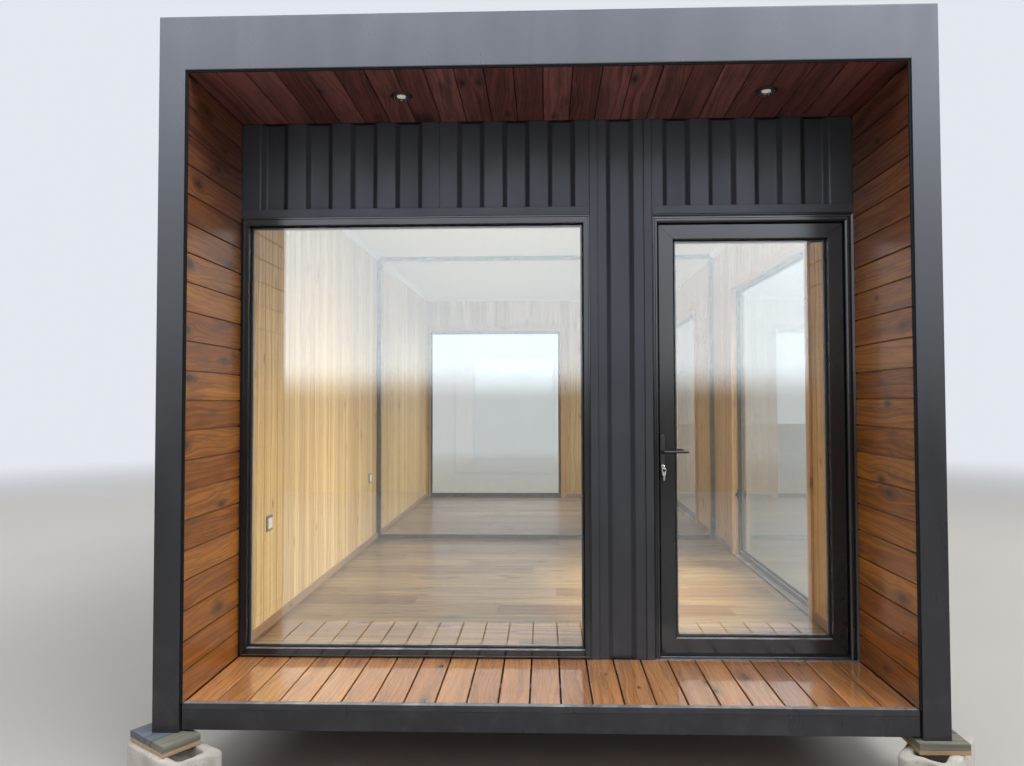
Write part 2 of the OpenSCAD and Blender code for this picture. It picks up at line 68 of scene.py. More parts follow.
# %% [markdown]
# The drawing measures depth back from the front face and height up from the frame's underside.
# Two small functions turn those into the scene's metres, so later cells use the drawing's numbers.

# %% Sizes from the drawing
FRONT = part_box("corner_posts")[0].y
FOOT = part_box("corner_posts")[0].z
HALF_W = 1.500
LENGTH = 6.055
POST = 0.104
BEAM_Z = 2.553
TOP_Z = 2.766
RAIL_Z = 0.108
PORCH_D = 0.521
PORCH_Z = 2.535
PORCH_HALF = 1.386
ROOM_HALF = 1.405
ROOM_D0 = 0.603
ROOM_D1 = 5.951
ROOM_Z = 2.470
FLOOR_Z = 0.115
WIN_X0, WIN_X1 = -1.377, 0.207
WIN_Z0, WIN_Z1 = 0.112, 2.100
WIN_W = WIN_X1 - WIN_X0
DOOR_X0, DOOR_X1 = 0.490, 1.388
SIDE_WINDOWS = ((1.170, 1.170 + WIN_W), (4.090, 4.090 + WIN_W))
LEAF_X = (0.506, 1.356)
LEAF_Z = (0.121, 2.068)
LEAF_D = (0.538, 0.596)
LEVER_X, LEVER_Z = 0.531, 1.030


def depth(d):
    """Y of a depth behind the front face."""
    return FRONT + d


def height(z):
    """Z of a height over the frame's underside."""
    return FOOT + z


print("front face at", round(FRONT, 4), "and underside at", round(FOOT, 4))

# %% [markdown]
# A surface is a grid of points, and its faces join each point to the next along and across.
# Writing the corner numbers as whole arrays keeps a cabin with thousands of faces quick to build.

# %% Grids, joins and meshes
TINY = 1e-6
SHARP_DEGREES = 40


def quads(rows, columns, wrap_rows=False, wrap_columns=False):
    """Corner numbers of a grid's faces: point, next along, next along and across, next across."""
    r = np.arange(rows if wrap_rows else rows - 1)[:, None]
    c = np.arange(columns if wrap_columns else columns - 1)[None, :]
    r2 = (r + 1) % rows
    c2 = (c + 1) % columns
    corners = [r * columns + c, r * columns + c2, r2 * columns + c2, r2 * columns + c]
    return np.stack(np.broadcast_arrays(*corners), -1).reshape(-1, 4)


def end_caps(rows, columns):
    """Corner numbers of the first and the last row, which close a bar at its ends."""
    return np.array([np.arange(columns), np.arange(columns) + (rows - 1) * columns])


def joined(parts):
    """One list of points and faces from several, each moved on by the points before it."""
    starts = np.cumsum([0] + [len(points) for points, _ in parts])
    points = np.concatenate([points for points, _ in parts])
    faces = []
    for start, (_, part_faces) in zip(starts, parts):
        for group in part_faces:
            faces.append(np.asarray(group) + start)
    return points, faces


def make(name, parts, body, finish, replaced=(), grain=None, rounded=True):
    """A finished piece: its mesh sits in place, faces out, rides on a body and has its finish."""
    points, groups = joined(parts)
    mesh = bpy.data.meshes.new(name)
    mesh.from_pydata(points.tolist(), [], [face for group in groups for face in group.tolist()])
    if grain is not None:
        mesh.attributes.new("grain", "FLOAT_VECTOR", "POINT")
        mesh.attributes["grain"].data.foreach_set("vector", np.concatenate(grain).ravel())
    shell = bmesh.new()
    shell.from_mesh(mesh)
    bmesh.ops.recalc_face_normals(shell, faces=shell.faces)
    shell.to_mesh(mesh)
    shell.free()
    if rounded:
        mesh.shade_smooth()
        mesh.set_sharp_from_angle(angle=math.radians(SHARP_DEGREES))
    piece = bpy.data.objects.new(name, mesh)
    bpy.context.scene.collection.objects.link(piece)
    if rounded:
        weights = piece.modifiers.new("even_faces", "WEIGHTED_NORMAL")
        weights.keep_sharp = True
    mesh.materials.append(finish)
    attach(piece, body)
    if replaced:
        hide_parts(*replaced)
    print(name, len(mesh.polygons), "faces")
    return piece


print("a grid of 3 by 4 points has", len(quads(3, 4)), "faces")

# %% [markdown]
# Nearly every bar of the cabin is one outline pushed along a straight or bent line.
# The outline is two columns, across and out, and each stop on the line says where those point.

# %% Outlines carried along a line
ARC_SHARE = 0.45


def carried(outline, stops, across, out, closed=False):
    """Points of an outline at each stop: stop + first column * across + second column * out."""
    stops = np.asarray(stops, float)
    across = np.broadcast_to(np.asarray(across, float), stops.shape)
    out = np.broadcast_to(np.asarray(out, float), stops.shape)
    outline = np.asarray(outline, float)
    if outline.ndim == 2:
        outline = np.broadcast_to(outline, (len(stops),) + outline.shape)
    points = (
        stops[:, None]
        + outline[:, :, :1] * across[:, None]
        + outline[:, :, 1:] * out[:, None]
    )
    rows, columns = points.shape[:2]
    groups = [quads(rows, columns, closed, True)]
    if not closed:
        groups.append(end_caps(rows, columns))
    return points.reshape(-1, 3), groups


def softened(line, reach, closed=False, steps=4):
    """Corners of a line rounded: each becomes an arc from reach before it to reach after it.

    Its points are (1 - s)^2 * start + 2 s (1 - s) * corner + s^2 * end, for s from 0 to 1.
    """
    line = np.asarray(line, float)
    before = np.roll(line, 1, 0) - line
    after = np.roll(line, -1, 0) - line
    size_before = np.linalg.norm(before, axis=1, keepdims=True)
    size_after = np.linalg.norm(after, axis=1, keepdims=True)
    start = line + before / size_before * np.minimum(reach, size_before * ARC_SHARE)
    end = line + after / size_after * np.minimum(reach, size_after * ARC_SHARE)
    s = np.linspace(0, 1, steps)[None, :, None]
    arcs = (1 - s) ** 2 * start[:, None] + 2 * s * (1 - s) * line[:, None] + s**2 * end[:, None]
    if closed:
        return arcs.reshape(-1, 2)
    middle = arcs[1:-1].reshape(-1, 2)
    return np.concatenate([line[:1], middle, line[-1:]])


def box_outline(a0, a1, b0, b1, radius=0.003):
    """Outline of a rectangle with rounded corners."""
    return softened([[a0, b0], [a1, b0], [a1, b1], [a0, b1]], radius, closed=True)


def bar(low, high, axis, radius=0.003, trim=0.0004):
    """A bar between two corners of a box, rounded along its length, with slightly eased ends."""
    low, high = np.asarray(low, float), np.asarray(high, float)
    along = np.eye(3)[axis]
    side, up = (a for a in range(3) if a != axis)
    middle = (low + high) / 2
    half = (high - low) / 2
    outline = box_outline(-half[side], half[side], -half[up], half[up], radius)
    small = box_outline(-half[side] + trim, half[side] - trim, -half[up] + trim, half[up] - trim, radius)
    reach = np.array([-half[axis], -half[axis] + trim, half[axis] - trim, half[axis]])
    stops = middle + reach[:, None] * along
    return carried([small, outline, outline, small], stops, np.eye(3)[side], np.eye(3)[up])


def turned(outline, centre, axis, steps=32):
    """An outline of radius and height turned round an axis through the centre.

    Point = centre + radius * (cos(turn) * first + sin(turn) * second) + height * axis.
    """
    axis = np.asarray(axis, float)
    first = np.cross(axis, X if abs(axis[0]) < 0.9 else Y)
    first /= np.linalg.norm(first)
    second = np.cross(axis, first)
    turn = np.linspace(0, 2 * np.pi, steps, endpoint=False)[:, None]
    stops = np.broadcast_to(np.asarray(centre, float), (steps, 3))
    return carried(outline, stops, np.cos(turn) * first + np.sin(turn) * second, axis, closed=True)


def plane(origin, along, inward):
    """A function that places (along, inwards, up) on one wall."""
    origin = np.array([origin[0], origin[1], FOOT])

    def place(u, w, z):
        return origin + np.outer(u, along) + np.outer(w, inward) + np.outer(z, Z)

    return place


def mitred(place, rect, inset, outline, gap=0.0003, sides="btlr"):
    """Bars round a rectangle, cut at 45 degrees where they meet.

    A point lies at outer corner + t * (inner corner - outer corner), and w behind the face.
    """
    h0, h1, z0, z1 = rect
    left, right, bottom, top = inset
    outer = {"a": (h0, z0), "b": (h1, z0), "c": (h1, z1), "d": (h0, z1)}
    inner = {
        "a": (h0 + left, z0 + bottom),
        "b": (h1 - right, z0 + bottom),
        "c": (h1 - right, z1 - top),
        "d": (h0 + left, z1 - top),
    }
    parts = []
    for side, (start, end) in {"b": "ab", "r": "bc", "t": "cd", "l": "da"}.items():
        if side not in sides:
            continue
        ends = []
        for key, sign in ((start, 1), (end, -1)):
            run = np.subtract(outer[end], outer[start])
            shift = sign * gap * run / np.linalg.norm(run)
            flat = np.array(outer[key]) + shift
            flat = flat + outline[:, :1] * np.subtract(inner[key], outer[key])
            ends.append(place(flat[:, 0], outline[:, 1], flat[:, 1]))
        count = len(outline)
        parts.append((np.concatenate(ends), [quads(2, count, False, True), end_caps(2, count)]))
    return parts


print("a rounded bar has", len(bar((0, 0, 0), (1, 1, 1), 0)[0]), "points")

# %% [markdown]
# Walls, deck, ceilings and floors are all rows of boards, so one function lays them.
# Every board keeps its own coordinates along and across the grain, with a random shift and tint,
# and the wood reads those. Neighbouring boards then never share a knot.
# Where a board is cut by an opening its edge stays sharp, so a cut has small sizes of its own.

# %% Boards
SAME = 1e-4
RING = 12
BEND = 0.29
CUT_CORNER, CUT_GROOVE, CUT_DEEP = 0.0002, 0.0001, 0.0006
MOST_SHIFT = 60


def region(end0, end1, edge0, edge1, pitch, first):
    """Boards that fill a rectangle, cut where the rectangle's edges fall inside a board."""
    start, stop = (edge0 - first) / pitch, (edge1 - first) / pitch
    numbers = np.arange(math.ceil(start + TINY), math.floor(stop - TINY) + 1)
    cuts = np.concatenate([[edge0], first + numbers * pitch, [edge1]])
    cells = np.zeros((len(cuts) - 1, 6))
    cells[:, 0] = end0
    cells[:, 1] = end1
    cells[:, 2] = cuts[:-1]
    cells[:, 3] = cuts[1:]
    cells[0, 4] = abs(start - round(start)) > SAME
    cells[-1, 5] = abs(stop - round(stop)) > SAME
    return cells


def boards(along, across, out, cells, level, thickness, corner, gap=0.0, groove=0.0, deep=0.0, seed=1):
    """Boards in a row. A cell holds two ends, two edges, and whether each edge was cut.

    Point = along * end + across * edge + out * level. The level may differ at the two ends. The front
    edges are eased by corner, and each long edge may have half a groove, whose bottom closes it.
    A board's outline is a ring of 12 points, six up each long side.
    Returns one part and its grain: the way along, the way across and the tint.
    """
    cells = np.atleast_2d(np.asarray(cells, float))
    if cells.shape[1] == 4:
        cells = np.pad(cells, ((0, 0), (0, 2)))
    count = len(cells)
    rng = np.random.default_rng(seed)
    a0 = cells[:, 2] + gap / 2
    a1 = cells[:, 3] - gap / 2
    whole = cells[:, 4:] == 0
    ease = np.where(whole, corner, CUT_CORNER)
    half = np.where(whole, groove, CUT_GROOVE)
    floor_at = np.where(whole, np.maximum(deep, corner + CUT_CORNER), CUT_DEEP)
    zero = np.zeros((count, 2))
    inset = np.stack([zero, zero, half, half, half + BEND * ease, half + ease], 1)
    sink = np.stack([zero + thickness, floor_at, floor_at, ease, BEND * ease, zero], 1)
    edge = np.concatenate([a0[:, None] + inset[:, :, 0], (a1[:, None] - inset[:, :, 1])[:, ::-1]], 1)
    drop = -np.concatenate([sink[:, :, 0], sink[:, ::-1, 1]], 1)
    ends = cells[:, :2]
    points = (
        ends[:, :, None, None] * np.asarray(along, float)
        + edge[:, None, :, None] * np.asarray(across, float)
        + (drop[:, None, :] + np.broadcast_to(level, 2)[:, None])[..., None] * np.asarray(out, float)
    )
    shift = rng.uniform(0, MOST_SHIFT, (count, 2))
    tint = rng.uniform(0, 1, count)
    unrolled = edge + np.sign(edge - edge.mean(1, keepdims=True)) * -drop
    grain = np.empty((count, 2, RING, 3))
    grain[..., 0] = (ends + shift[:, :1])[:, :, None]
    grain[..., 1] = (unrolled + shift[:, 1:])[:, None, :]
    grain[..., 2] = tint[:, None, None]
    first = 2 * RING * np.arange(count)[:, None, None]
    faces = (quads(2, RING, False, True)[None] + first).reshape(-1, 4)
    caps = (end_caps(2, RING)[None] + first).reshape(-1, RING)
    return (points.reshape(-1, 3), [faces, caps]), grain.reshape(-1, 3)


def board_row(along, across, out, cells, level, thickness, corner, **joint):
    """One row for lay(): its directions, cells and sizes. A joint is a gap, or a groove and its depth."""
    sizes = dict(level=level, thickness=thickness, corner=corner, **joint)
    return dict(along=along, across=across, out=out, cells=cells, **sizes)


def lay(name, rows, body, finish, replaced=()):
    """A piece made of several rows of boards, each with its own direction."""
    parts = []
    grain = []
    for number, row in enumerate(rows):
        part, part_grain = boards(seed=len(name) * 7 + number, **row)
        parts.append(part)
        grain.append(part_grain)
    return make(name, parts, body, finish, replaced, grain, rounded=False)


print("a metre of boards 0.3 wide takes", len(region(0, 1, 0, 1, 0.3, 0)), "boards")

# %% [markdown]
# A finish is a tree of nodes. These small classes give each node that the finishes use one short
# method, so that a finish reads as a recipe. All patterns use the object's own metres, or the
# grain that the boards carry, and nothing depends on where the camera stands.

# %% Finishes


class Nodes:
    """A tree of nodes, and short methods that add to it."""

    def __init__(self, tree):
        self.tree = tree
        tree.nodes.clear()

    def node(self, kind, **settings):
        made = self.tree.nodes.new(kind)
        for key, value in settings.items():
            setattr(made, key, value)
        return made

    def put(self, socket, value):
        if isinstance(value, bpy.types.NodeSocket):
            self.tree.links.new(value, socket)
        else:
            socket.default_value = value

    def fed(self, kind, *values, **settings):
        """A node whose first sockets take the values in turn."""
        made = self.node(kind, **settings)
        for socket, value in zip(made.inputs, values):
            self.put(socket, value)
        return made

    def math(self, operation, *values):
        return self.fed("ShaderNodeMath", *values, operation=operation).outputs[0]

    def add(self, first, second):
        return self.math("ADD", first, second)

    def subtract(self, first, second):
        return self.math("SUBTRACT", first, second)

    def multiply(self, first, second):
        return self.math("MULTIPLY", first, second)

    def divide(self, first, second):
        return self.math("DIVIDE", first, second)

    def place(self):
        return self.node("ShaderNodeTexCoord").outputs["Object"]

    def split(self, vector):
        return self.fed("ShaderNodeSeparateXYZ", vector).outputs

    def vector(self, x, y, z=0.0):
        return self.fed("ShaderNodeCombineXYZ", x, y, z).outputs[0]

    def ramp(self, value, low, high, start=0.0, stop=1.0):
        """A smooth step from start to stop, as the value goes from low to high."""
        sockets = (value, low, high, start, stop)
        return self.fed("ShaderNodeMapRange", *sockets, interpolation_type="SMOOTHSTEP").outputs[0]

    def named(self, kind, vector, **values):
        """A texture or mapping node that reads the vector, with values for sockets by name."""
        made = self.node(kind)
        self.put(made.inputs["Vector"], vector)
        for key, value in values.items():
            self.put(made.inputs[key], value)
        return made.outputs

    def stretched(self, vector, scale):
        return self.named("ShaderNodeMapping", vector, Scale=scale)[0]

    def noise(self, vector, scale, detail=2.0, roughness=0.5):
        return self.named("ShaderNodeTexNoise", vector, Scale=scale, Detail=detail, Roughness=roughness)[0]

    def cells(self, vector, scale, dimensions="3D"):
        made = self.node("ShaderNodeTexVoronoi", voronoi_dimensions=dimensions)
        self.put(made.inputs["Vector"], vector)
        self.put(made.inputs["Scale"], scale)
        return made.outputs

    def mix(self, amount, first, second, **settings):
        made = self.node("ShaderNodeMix", data_type="RGBA", **settings)
        self.put(made.inputs[0], amount)
        for index, value in ((6, first), (7, second)):
            self.put(made.inputs[index], (*value, 1.0) if isinstance(value, tuple) else value)
        return made.outputs[2]

    def times(self, first, second):
        return self.mix(1.0, first, second, blend_type="MULTIPLY")


class Finish(Nodes):
    """A material with one Principled shader."""

    def __init__(self, name):
        self.material = bpy.data.materials.new(name)
        self.material.use_nodes = True
        super().__init__(self.material.node_tree)
        self.shader = self.node("ShaderNodeBsdfPrincipled")
        self.end = self.node("ShaderNodeOutputMaterial")
        self.put(self.end.inputs["Surface"], self.shader.outputs[0])

    def set(self, **values):
        for key, value in values.items():
            self.put(self.shader.inputs[key.replace("_", " ")], value)

    def bump(self, height_value, distance, strength, normal="Normal"):
        made = self.node("ShaderNodeBump")
        self.put(made.inputs["Height"], height_value)
        made.inputs["Distance"].default_value = distance
        made.inputs["Strength"].default_value = strength
        self.put(self.shader.inputs[normal], made.outputs[0])

    def blend(self, amount, first, second):
        """The material shows the first node's shader, and the second's by the amount."""
        made = self.fed("ShaderNodeMixShader", amount, first.outputs[0], second.outputs[0])
        self.put(self.end.inputs["Surface"], made.outputs[0])


print("short methods:", [name for name in {**vars(Nodes), **vars(Finish)} if not name.startswith("_")])

# %% [markdown]
# The steel is factory paint in satin anthracite. It isn't one flat colour: the coat is a little
# mottled, slightly wavy in reflections, and dust settles low down. The paint is no metal, so the soft
# grey sheen of the fascia comes from a fairly smooth coat that mirrors an open sky.

# %% Painted steel
SHELF_Z = height(RAIL_Z)
SHELF_LIP = 0.016, 0.006
DUST = (0.45, 0.44, 0.44)
DARKER, LIGHTER = 0.82, 1.2


def painted(name, base, roughness, ior, dust, wave):
    """Satin paint: base * (0.82 to 1.2) by slow noise, a faint orange peel, and dust low down.

    Dust is low * patch * dust on every face, and more on the sill's top, which looks up.
    """
    finish = Finish(name)
    place = finish.place()
    slow = finish.noise(place, 1.7, 3.0)
    fine = finish.noise(place, 420.0, 2.0)
    tones = [tuple(c * share for c in base) for share in (DARKER, LIGHTER)]
    coat = finish.mix(finish.ramp(slow, 0.3, 0.7), *tones)
    z = finish.split(place)[2]
    low = finish.ramp(z, 0.9, 0.2)
    patch = finish.ramp(finish.noise(place, 9.0, 5.0, 0.65), 0.45, 0.8)
    thin = finish.multiply(finish.multiply(low, patch), dust)
    normal = finish.node("ShaderNodeNewGeometry").outputs["Normal"]
    level = finish.ramp(finish.split(normal)[2], 0.35, 0.9)
    thick = finish.multiply(level, finish.ramp(patch, -0.8, 1.0))
    shelf = finish.ramp(z, SHELF_Z - SHELF_LIP[0], SHELF_Z - SHELF_LIP[1])
    thick = finish.multiply(thick, finish.multiply(low, shelf))
    finish.set(Base_Color=finish.mix(finish.add(thin, thick), coat, DUST))
    smear = finish.noise(finish.stretched(place, (3.0, 3.0, 0.7)), 3.0, 4.0, 0.6)
    finish.set(Roughness=finish.ramp(smear, 0.2, 0.8, roughness - 0.05, roughness + 0.09), IOR=ior)
    broad = finish.noise(finish.stretched(place, (1.0, 1.0, 0.35)), 5.0, 1.0)
    finish.bump(finish.add(broad, finish.multiply(fine, 0.02)), wave, 0.6)
    return finish.material


steel_paint = painted("satin_anthracite", (0.018, 0.019, 0.024), 0.30, 1.45, 0.06, 0.00014)
sheet_paint = painted("ribbed_sheet_paint", (0.050, 0.054, 0.065), 0.40, 1.31, 0.06, 0.0003)
window_paint = painted("window_profile_paint", (0.008, 0.009, 0.011), 0.17, 1.50, 0.01, 0.00006)
door_paint = painted("door_profile_paint", (0.013, 0.014, 0.018), 0.17, 1.50, 0.01, 0.00006)
roof_paint = painted("roof_sheet_paint", (0.055, 0.057, 0.062), 0.5, 1.4, 0.0, 0.0006)
paints = (steel_paint, sheet_paint, window_paint, door_paint, roof_paint)
print("paints:", [paint.name for paint in paints])

# %% [markdown]
# Pine shows long growth lines that bend round its knots, like water round a stone.
# A photograph or a wood texture would repeat. Here a cell pattern drops a knot point now and then,
# and the growth lines follow the lines of a flow round it: across * (1 - radius^2 / distance^2).

# %% Pine and other wood


def wood(
    name, pale, dark, stain, knot,
    lines, knots, soak, coat, roughness, vary, mirror=(0.14, 1.5), high=None,
):
    """Wood in a board's own coordinates: growth lines, fibres, patches of stain, knots and tint.

    After the four colours come the growth lines per metre, the share of cells that hold a knot, the
    most stain, the coat, the roughness and how far boards differ in tone.
    The coat's mirror is its roughness and its index. The coat is a little wavy, as brushed varnish is.
    The colour high multiplies boards up under the roof: painted shade, with a bluish painted reflection.
    A growth line lies at across * (1 - push / distance squared) + sway, so it bends round a knot.
    """
    finish = Finish(name)
    attribute = finish.node("ShaderNodeAttribute", attribute_name="grain")
    u, v, tint = finish.split(attribute.outputs["Vector"])

    def board_noise(along, across, detail, roughness=0.5):
        place = finish.vector(finish.multiply(u, along), finish.multiply(v, across), tint)
        return finish.noise(place, 1.0, detail, roughness)

    per_u, per_v = 2.6, 8.5
    grid = finish.vector(finish.multiply(u, per_u), finish.multiply(v, per_v))
    cell = finish.cells(grid, 1.0, "2D")
    centre = finish.split(cell["Position"])
    ru = finish.subtract(u, finish.divide(centre[0], per_u))
    cv = finish.divide(centre[1], per_v)
    rv = finish.subtract(v, cv)
    chance = finish.split(cell["Color"])[0]
    radius = finish.ramp(chance, 1.0 - knots, 1.0, 0.0, 0.015)
    flat = finish.multiply(ru, 0.45)
    square = finish.add(finish.multiply(flat, flat), finish.multiply(rv, rv))
    ragged = finish.multiply(finish.subtract(board_noise(60.0, 90.0, 2.0), 0.5), 0.009)
    distance = finish.add(finish.math("SQRT", square), ragged)
    wide = finish.multiply(radius, 1.9)
    push = finish.multiply(wide, wide)
    share = finish.math("MINIMUM", finish.divide(push, finish.add(square, 1e-6)), 0.92)
    flow = finish.add(finish.multiply(rv, finish.subtract(1.0, share)), cv)
    sway = finish.multiply(board_noise(1.5, 5.0, 2.0), 0.13)
    line = finish.multiply(finish.add(flow, sway), lines)
    year = finish.noise(finish.vector(finish.multiply(u, 0.4), line, tint), 1.0, 1.0)
    late = finish.ramp(year, 0.34, 0.68)
    fibre = board_noise(9.0, 480.0, 3.0, 0.7)
    patch = finish.ramp(board_noise(4.0, 22.0, 5.0, 0.68), 0.43, 0.74, 0.0, soak)
    amount = finish.add(finish.multiply(late, 0.62), finish.multiply(fibre, 0.45))
    colour = finish.mix(patch, finish.mix(amount, pale, dark), stain)
    shade = finish.mix(tint, (1.0 - 0.8 * vary, 1.0 - vary, 1.0 - 1.1 * vary), (1.0, 1.0, 1.0))
    colour = finish.times(colour, shade)
    # Painted shade: up under the roof the colour is multiplied by high, darker and a little bluer.
    if high:
        painted_shade_under_roof = finish.ramp(finish.split(finish.place())[2], height(1.55), height(2.45))
        colour = finish.times(colour, finish.mix(painted_shade_under_roof, (1.0, 1.0, 1.0), high))
    halo_edge = finish.add(finish.multiply(radius, 3.2), 1e-4)
    halo = finish.ramp(finish.divide(distance, halo_edge), 1.0, 0.25, 0.0, 0.7)
    heart_edge = finish.add(radius, 1e-4)
    heart = finish.ramp(finish.divide(distance, heart_edge), 1.1, 0.7, 0.0, 0.85)
    colour = finish.mix(halo, colour, tuple(0.6 * a + 0.4 * b for a, b in zip(stain, knot)))
    finish.set(Base_Color=finish.mix(heart, colour, knot))
    finish.set(Roughness=finish.ramp(fibre, 0.2, 0.8, roughness - 0.06, roughness + 0.1))
    finish.set(Coat_Weight=coat, Coat_Roughness=mirror[0], Coat_IOR=mirror[1], IOR=1.35)
    relief = finish.add(finish.multiply(late, 0.5), finish.multiply(fibre, 0.5))
    finish.bump(finish.subtract(relief, heart), 0.0003, 0.5)
    finish.bump(board_noise(5.0, 16.0, 1.0), 0.0010, 1.0, "Coat Normal")
    return finish.material


# The wall boards' colour high is painted shade under the porch roof, with a bluish painted reflection.
wall_boards = wood(
    "varnished_wall_pine", (0.56, 0.218, 0.026), (0.22, 0.068, 0.012), (0.120, 0.046, 0.018),
    (0.050, 0.022, 0.010), 120.0, 0.50, 0.70, 0.35, 0.36, 0.50, high=(0.58, 0.64, 2.5),
)
# The soffit pine is darker than the wall pine: partly its own darker stain, partly painted shade under the
# roof.
soffit_boards = wood(
    "soffit_pine_stain_and_painted_shade", (0.335, 0.126, 0.108), (0.105, 0.040, 0.036), (0.054, 0.025, 0.026),
    (0.016, 0.009, 0.009), 110.0, 0.5, 0.8, 0.50, 0.40, 0.62,
)
deck_wood = wood(
    "varnished_deck_pine", (0.80, 0.375, 0.125), (0.43, 0.175, 0.046), (0.30, 0.150, 0.074),
    (0.110, 0.052, 0.026), 110.0, 0.45, 0.65, 1.0, 0.28, 0.50, (0.06, 1.75),
)
room_pine = wood(
    "natural_pine", (0.90, 0.68, 0.34), (0.58, 0.36, 0.13), (0.76, 0.50, 0.23), (0.32, 0.13, 0.045),
    60.0, 0.45, 0.35, 0.12, 0.5, 0.30,
)
orange_pine = wood(
    "orange_reveal_pine", (0.84, 0.52, 0.24), (0.62, 0.33, 0.12), (0.58, 0.32, 0.14), (0.22, 0.09, 0.04),
    90.0, 0.4, 0.4, 0.3, 0.42, 0.2,
)
laminate = wood(
    "laminate_floor", (0.48, 0.325, 0.155), (0.15, 0.085, 0.037), (0.16, 0.102, 0.054),
    (0.050, 0.028, 0.016), 55.0, 0.55, 0.9, 0.25, 0.34, 0.60,
)
skirting_wood = wood(
    "brown_skirting", (0.40, 0.25, 0.13), (0.26, 0.15, 0.075), (0.24, 0.14, 0.08), (0.10, 0.05, 0.03),
    90.0, 0.2, 0.3, 0.2, 0.4, 0.15,
)
woods = (wall_boards, soffit_boards, deck_wood, room_pine, orange_pine, laminate, skirting_wood)
print("woods:", [made.name for made in woods])

# %% [markdown]
# The other finishes are simple to name and still not flat: mottled rubber, plastic, metal and
# paint, a board with a roller's texture, sandy concrete with small pits, and glass.
# Glass lets lamps through where a shadow is asked for, because real daylight also fills a room
# through its windows, and a path tracer finds that light only slowly through refraction.

# %% Rubber, concrete, panel, metal and glass


def speckled(name, base, second, scale, roughness, relief, metallic=0.0, ior=1.45, **more):
    """Two near tones mixed by noise, with the same noise as a fine relief."""
    finish = Finish(name)
    grainy = finish.noise(finish.place(), scale, 4.0, 0.6)
    finish.set(Base_Color=finish.mix(finish.ramp(grainy, 0.3, 0.7), base, second))
    finish.set(Roughness=finish.ramp(grainy, 0.2, 0.8, roughness - 0.06, roughness + 0.06))
    finish.set(Metallic=metallic, IOR=ior, **more)
    finish.bump(grainy, relief, 0.5)
    return finish.material


rubber = speckled("black_rubber", (0.006, 0.006, 0.007), (0.013, 0.013, 0.014), 60.0, 0.75, 0.0003, ior=1.2)
white_board = speckled("ceiling_board", (0.80, 0.80, 0.79), (0.86, 0.86, 0.85), 90.0, 0.7, 0.0004)
white_plastic = speckled("white_plastic", (0.80, 0.80, 0.78), (0.84, 0.84, 0.82), 30.0, 0.35, 0.0001)
grey_plastic = speckled("grey_plastic", (0.16, 0.16, 0.165), (0.20, 0.20, 0.205), 30.0, 0.4, 0.0001)
bright_metal = speckled("bright_metal", (0.44, 0.43, 0.41), (0.58, 0.57, 0.55), 120.0, 0.26, 0.0001, 1.0)
dark_metal = speckled(
    "dark_anodised_metal", (0.10, 0.10, 0.105), (0.16, 0.16, 0.165), 60.0, 0.4, 0.0001, 0.7
)
spacer_metal = speckled("spacer_metal", (0.20, 0.20, 0.21), (0.27, 0.27, 0.28), 50.0, 0.5, 0.0001, 0.6)
black_paint = speckled(
    "black_handle_paint", (0.014, 0.014, 0.015), (0.024, 0.024, 0.026), 200.0, 0.38, 0.0002, 0.2
)


def concrete_finish(name):
    """Cast concrete: large pale clouds, sand, and small dark pits from a cell pattern."""
    finish = Finish(name)
    place = finish.place()
    cloud = finish.noise(place, 7.0, 5.0, 0.6)
    sand = finish.noise(place, 170.0, 3.0, 0.7)
    pits = finish.ramp(finish.cells(place, 75.0)["Distance"], 0.22, 0.08)
    body = finish.mix(finish.ramp(cloud, 0.3, 0.7), (0.47, 0.435, 0.385), (0.66, 0.63, 0.575))
    body = finish.mix(finish.ramp(sand, 0.55, 0.85, 0.0, 0.5), body, (0.30, 0.275, 0.24))
    finish.set(Base_Color=finish.mix(finish.multiply(pits, 0.5), body, (0.20, 0.18, 0.155)))
    finish.set(Roughness=0.9)
    finish.bump(finish.subtract(finish.add(sand, cloud), pits), 0.0016, 0.8)
    return finish.material


def glass_finish(name, ior, tint):
    """Clear glass with a slight green. A coated sheet mirrors more, which a higher index stands for.

    Lamps pass it as if it were open, so it has a blend at its end.
    """
    finish = Finish(name)
    haze = finish.noise(finish.place(), 2.5, 3.0)
    clear_tone = (tint * 0.985, tint, tint * 0.994)
    finish.set(Base_Color=finish.mix(haze, clear_tone, tuple(min(1.0, c * 1.006) for c in clear_tone)))
    finish.set(Roughness=0.0, IOR=ior, Transmission_Weight=1.0)
    shadow = finish.node("ShaderNodeLightPath").outputs["Is Shadow Ray"]
    finish.blend(shadow, finish.shader, finish.fed("ShaderNodeBsdfTransparent", (0.95, 0.97, 0.965, 1.0)))
    return finish.material


concrete = concrete_finish("cast_concrete")
coated_glass = glass_finish("coated_glass", 1.66, 0.945)
plain_glass = glass_finish("plain_glass", 1.42, 0.935)
print("materials:", len(bpy.data.materials))

# %% [markdown]
# The load-bearing frame is folded and welded steel. Each member is a box section with a small
# radius along its edges. A sharp box never catches light on its edges, so the outline is rounded
# before it is pushed along.

# %% Posts, fascia and rails
EDGE_R = 0.003
INNER = HALF_W - POST


def profile(width, points, radius, steps=4):
    """An outline drawn in metres for a bar of one width, as mitred() wants it: t = across / width."""
    return softened(points, radius, closed=True, steps=steps) / [width, 1.0]


post_outline = profile(POST, [[0.0, 0.0], [POST, 0.0], [POST, POST], [0.0, POST]], EDGE_R)
ring_rect = (-HALF_W, HALF_W, 0.0, TOP_Z)
ring_inset = (POST, POST, 0.0, TOP_Z - BEAM_Z)
ring = []
for d, inward in ((0.0, Y), (LENGTH, -Y)):
    ring += mitred(plane((0, depth(d)), X, inward), ring_rect, ring_inset, post_outline, 0.0, "tlr")
make("end_frames", ring, "cabin", steel_paint, ["corner_posts", "end_beams"])

rails = []
for x0, x1 in ((-HALF_W, -INNER), (INNER, HALF_W)):
    rails.append(bar((x0, depth(POST), height(BEAM_Z)), (x1, depth(LENGTH - POST), height(TOP_Z)), 1))
make("side_roof_rails", rails, "cabin", steel_paint, ["roof_rails"])

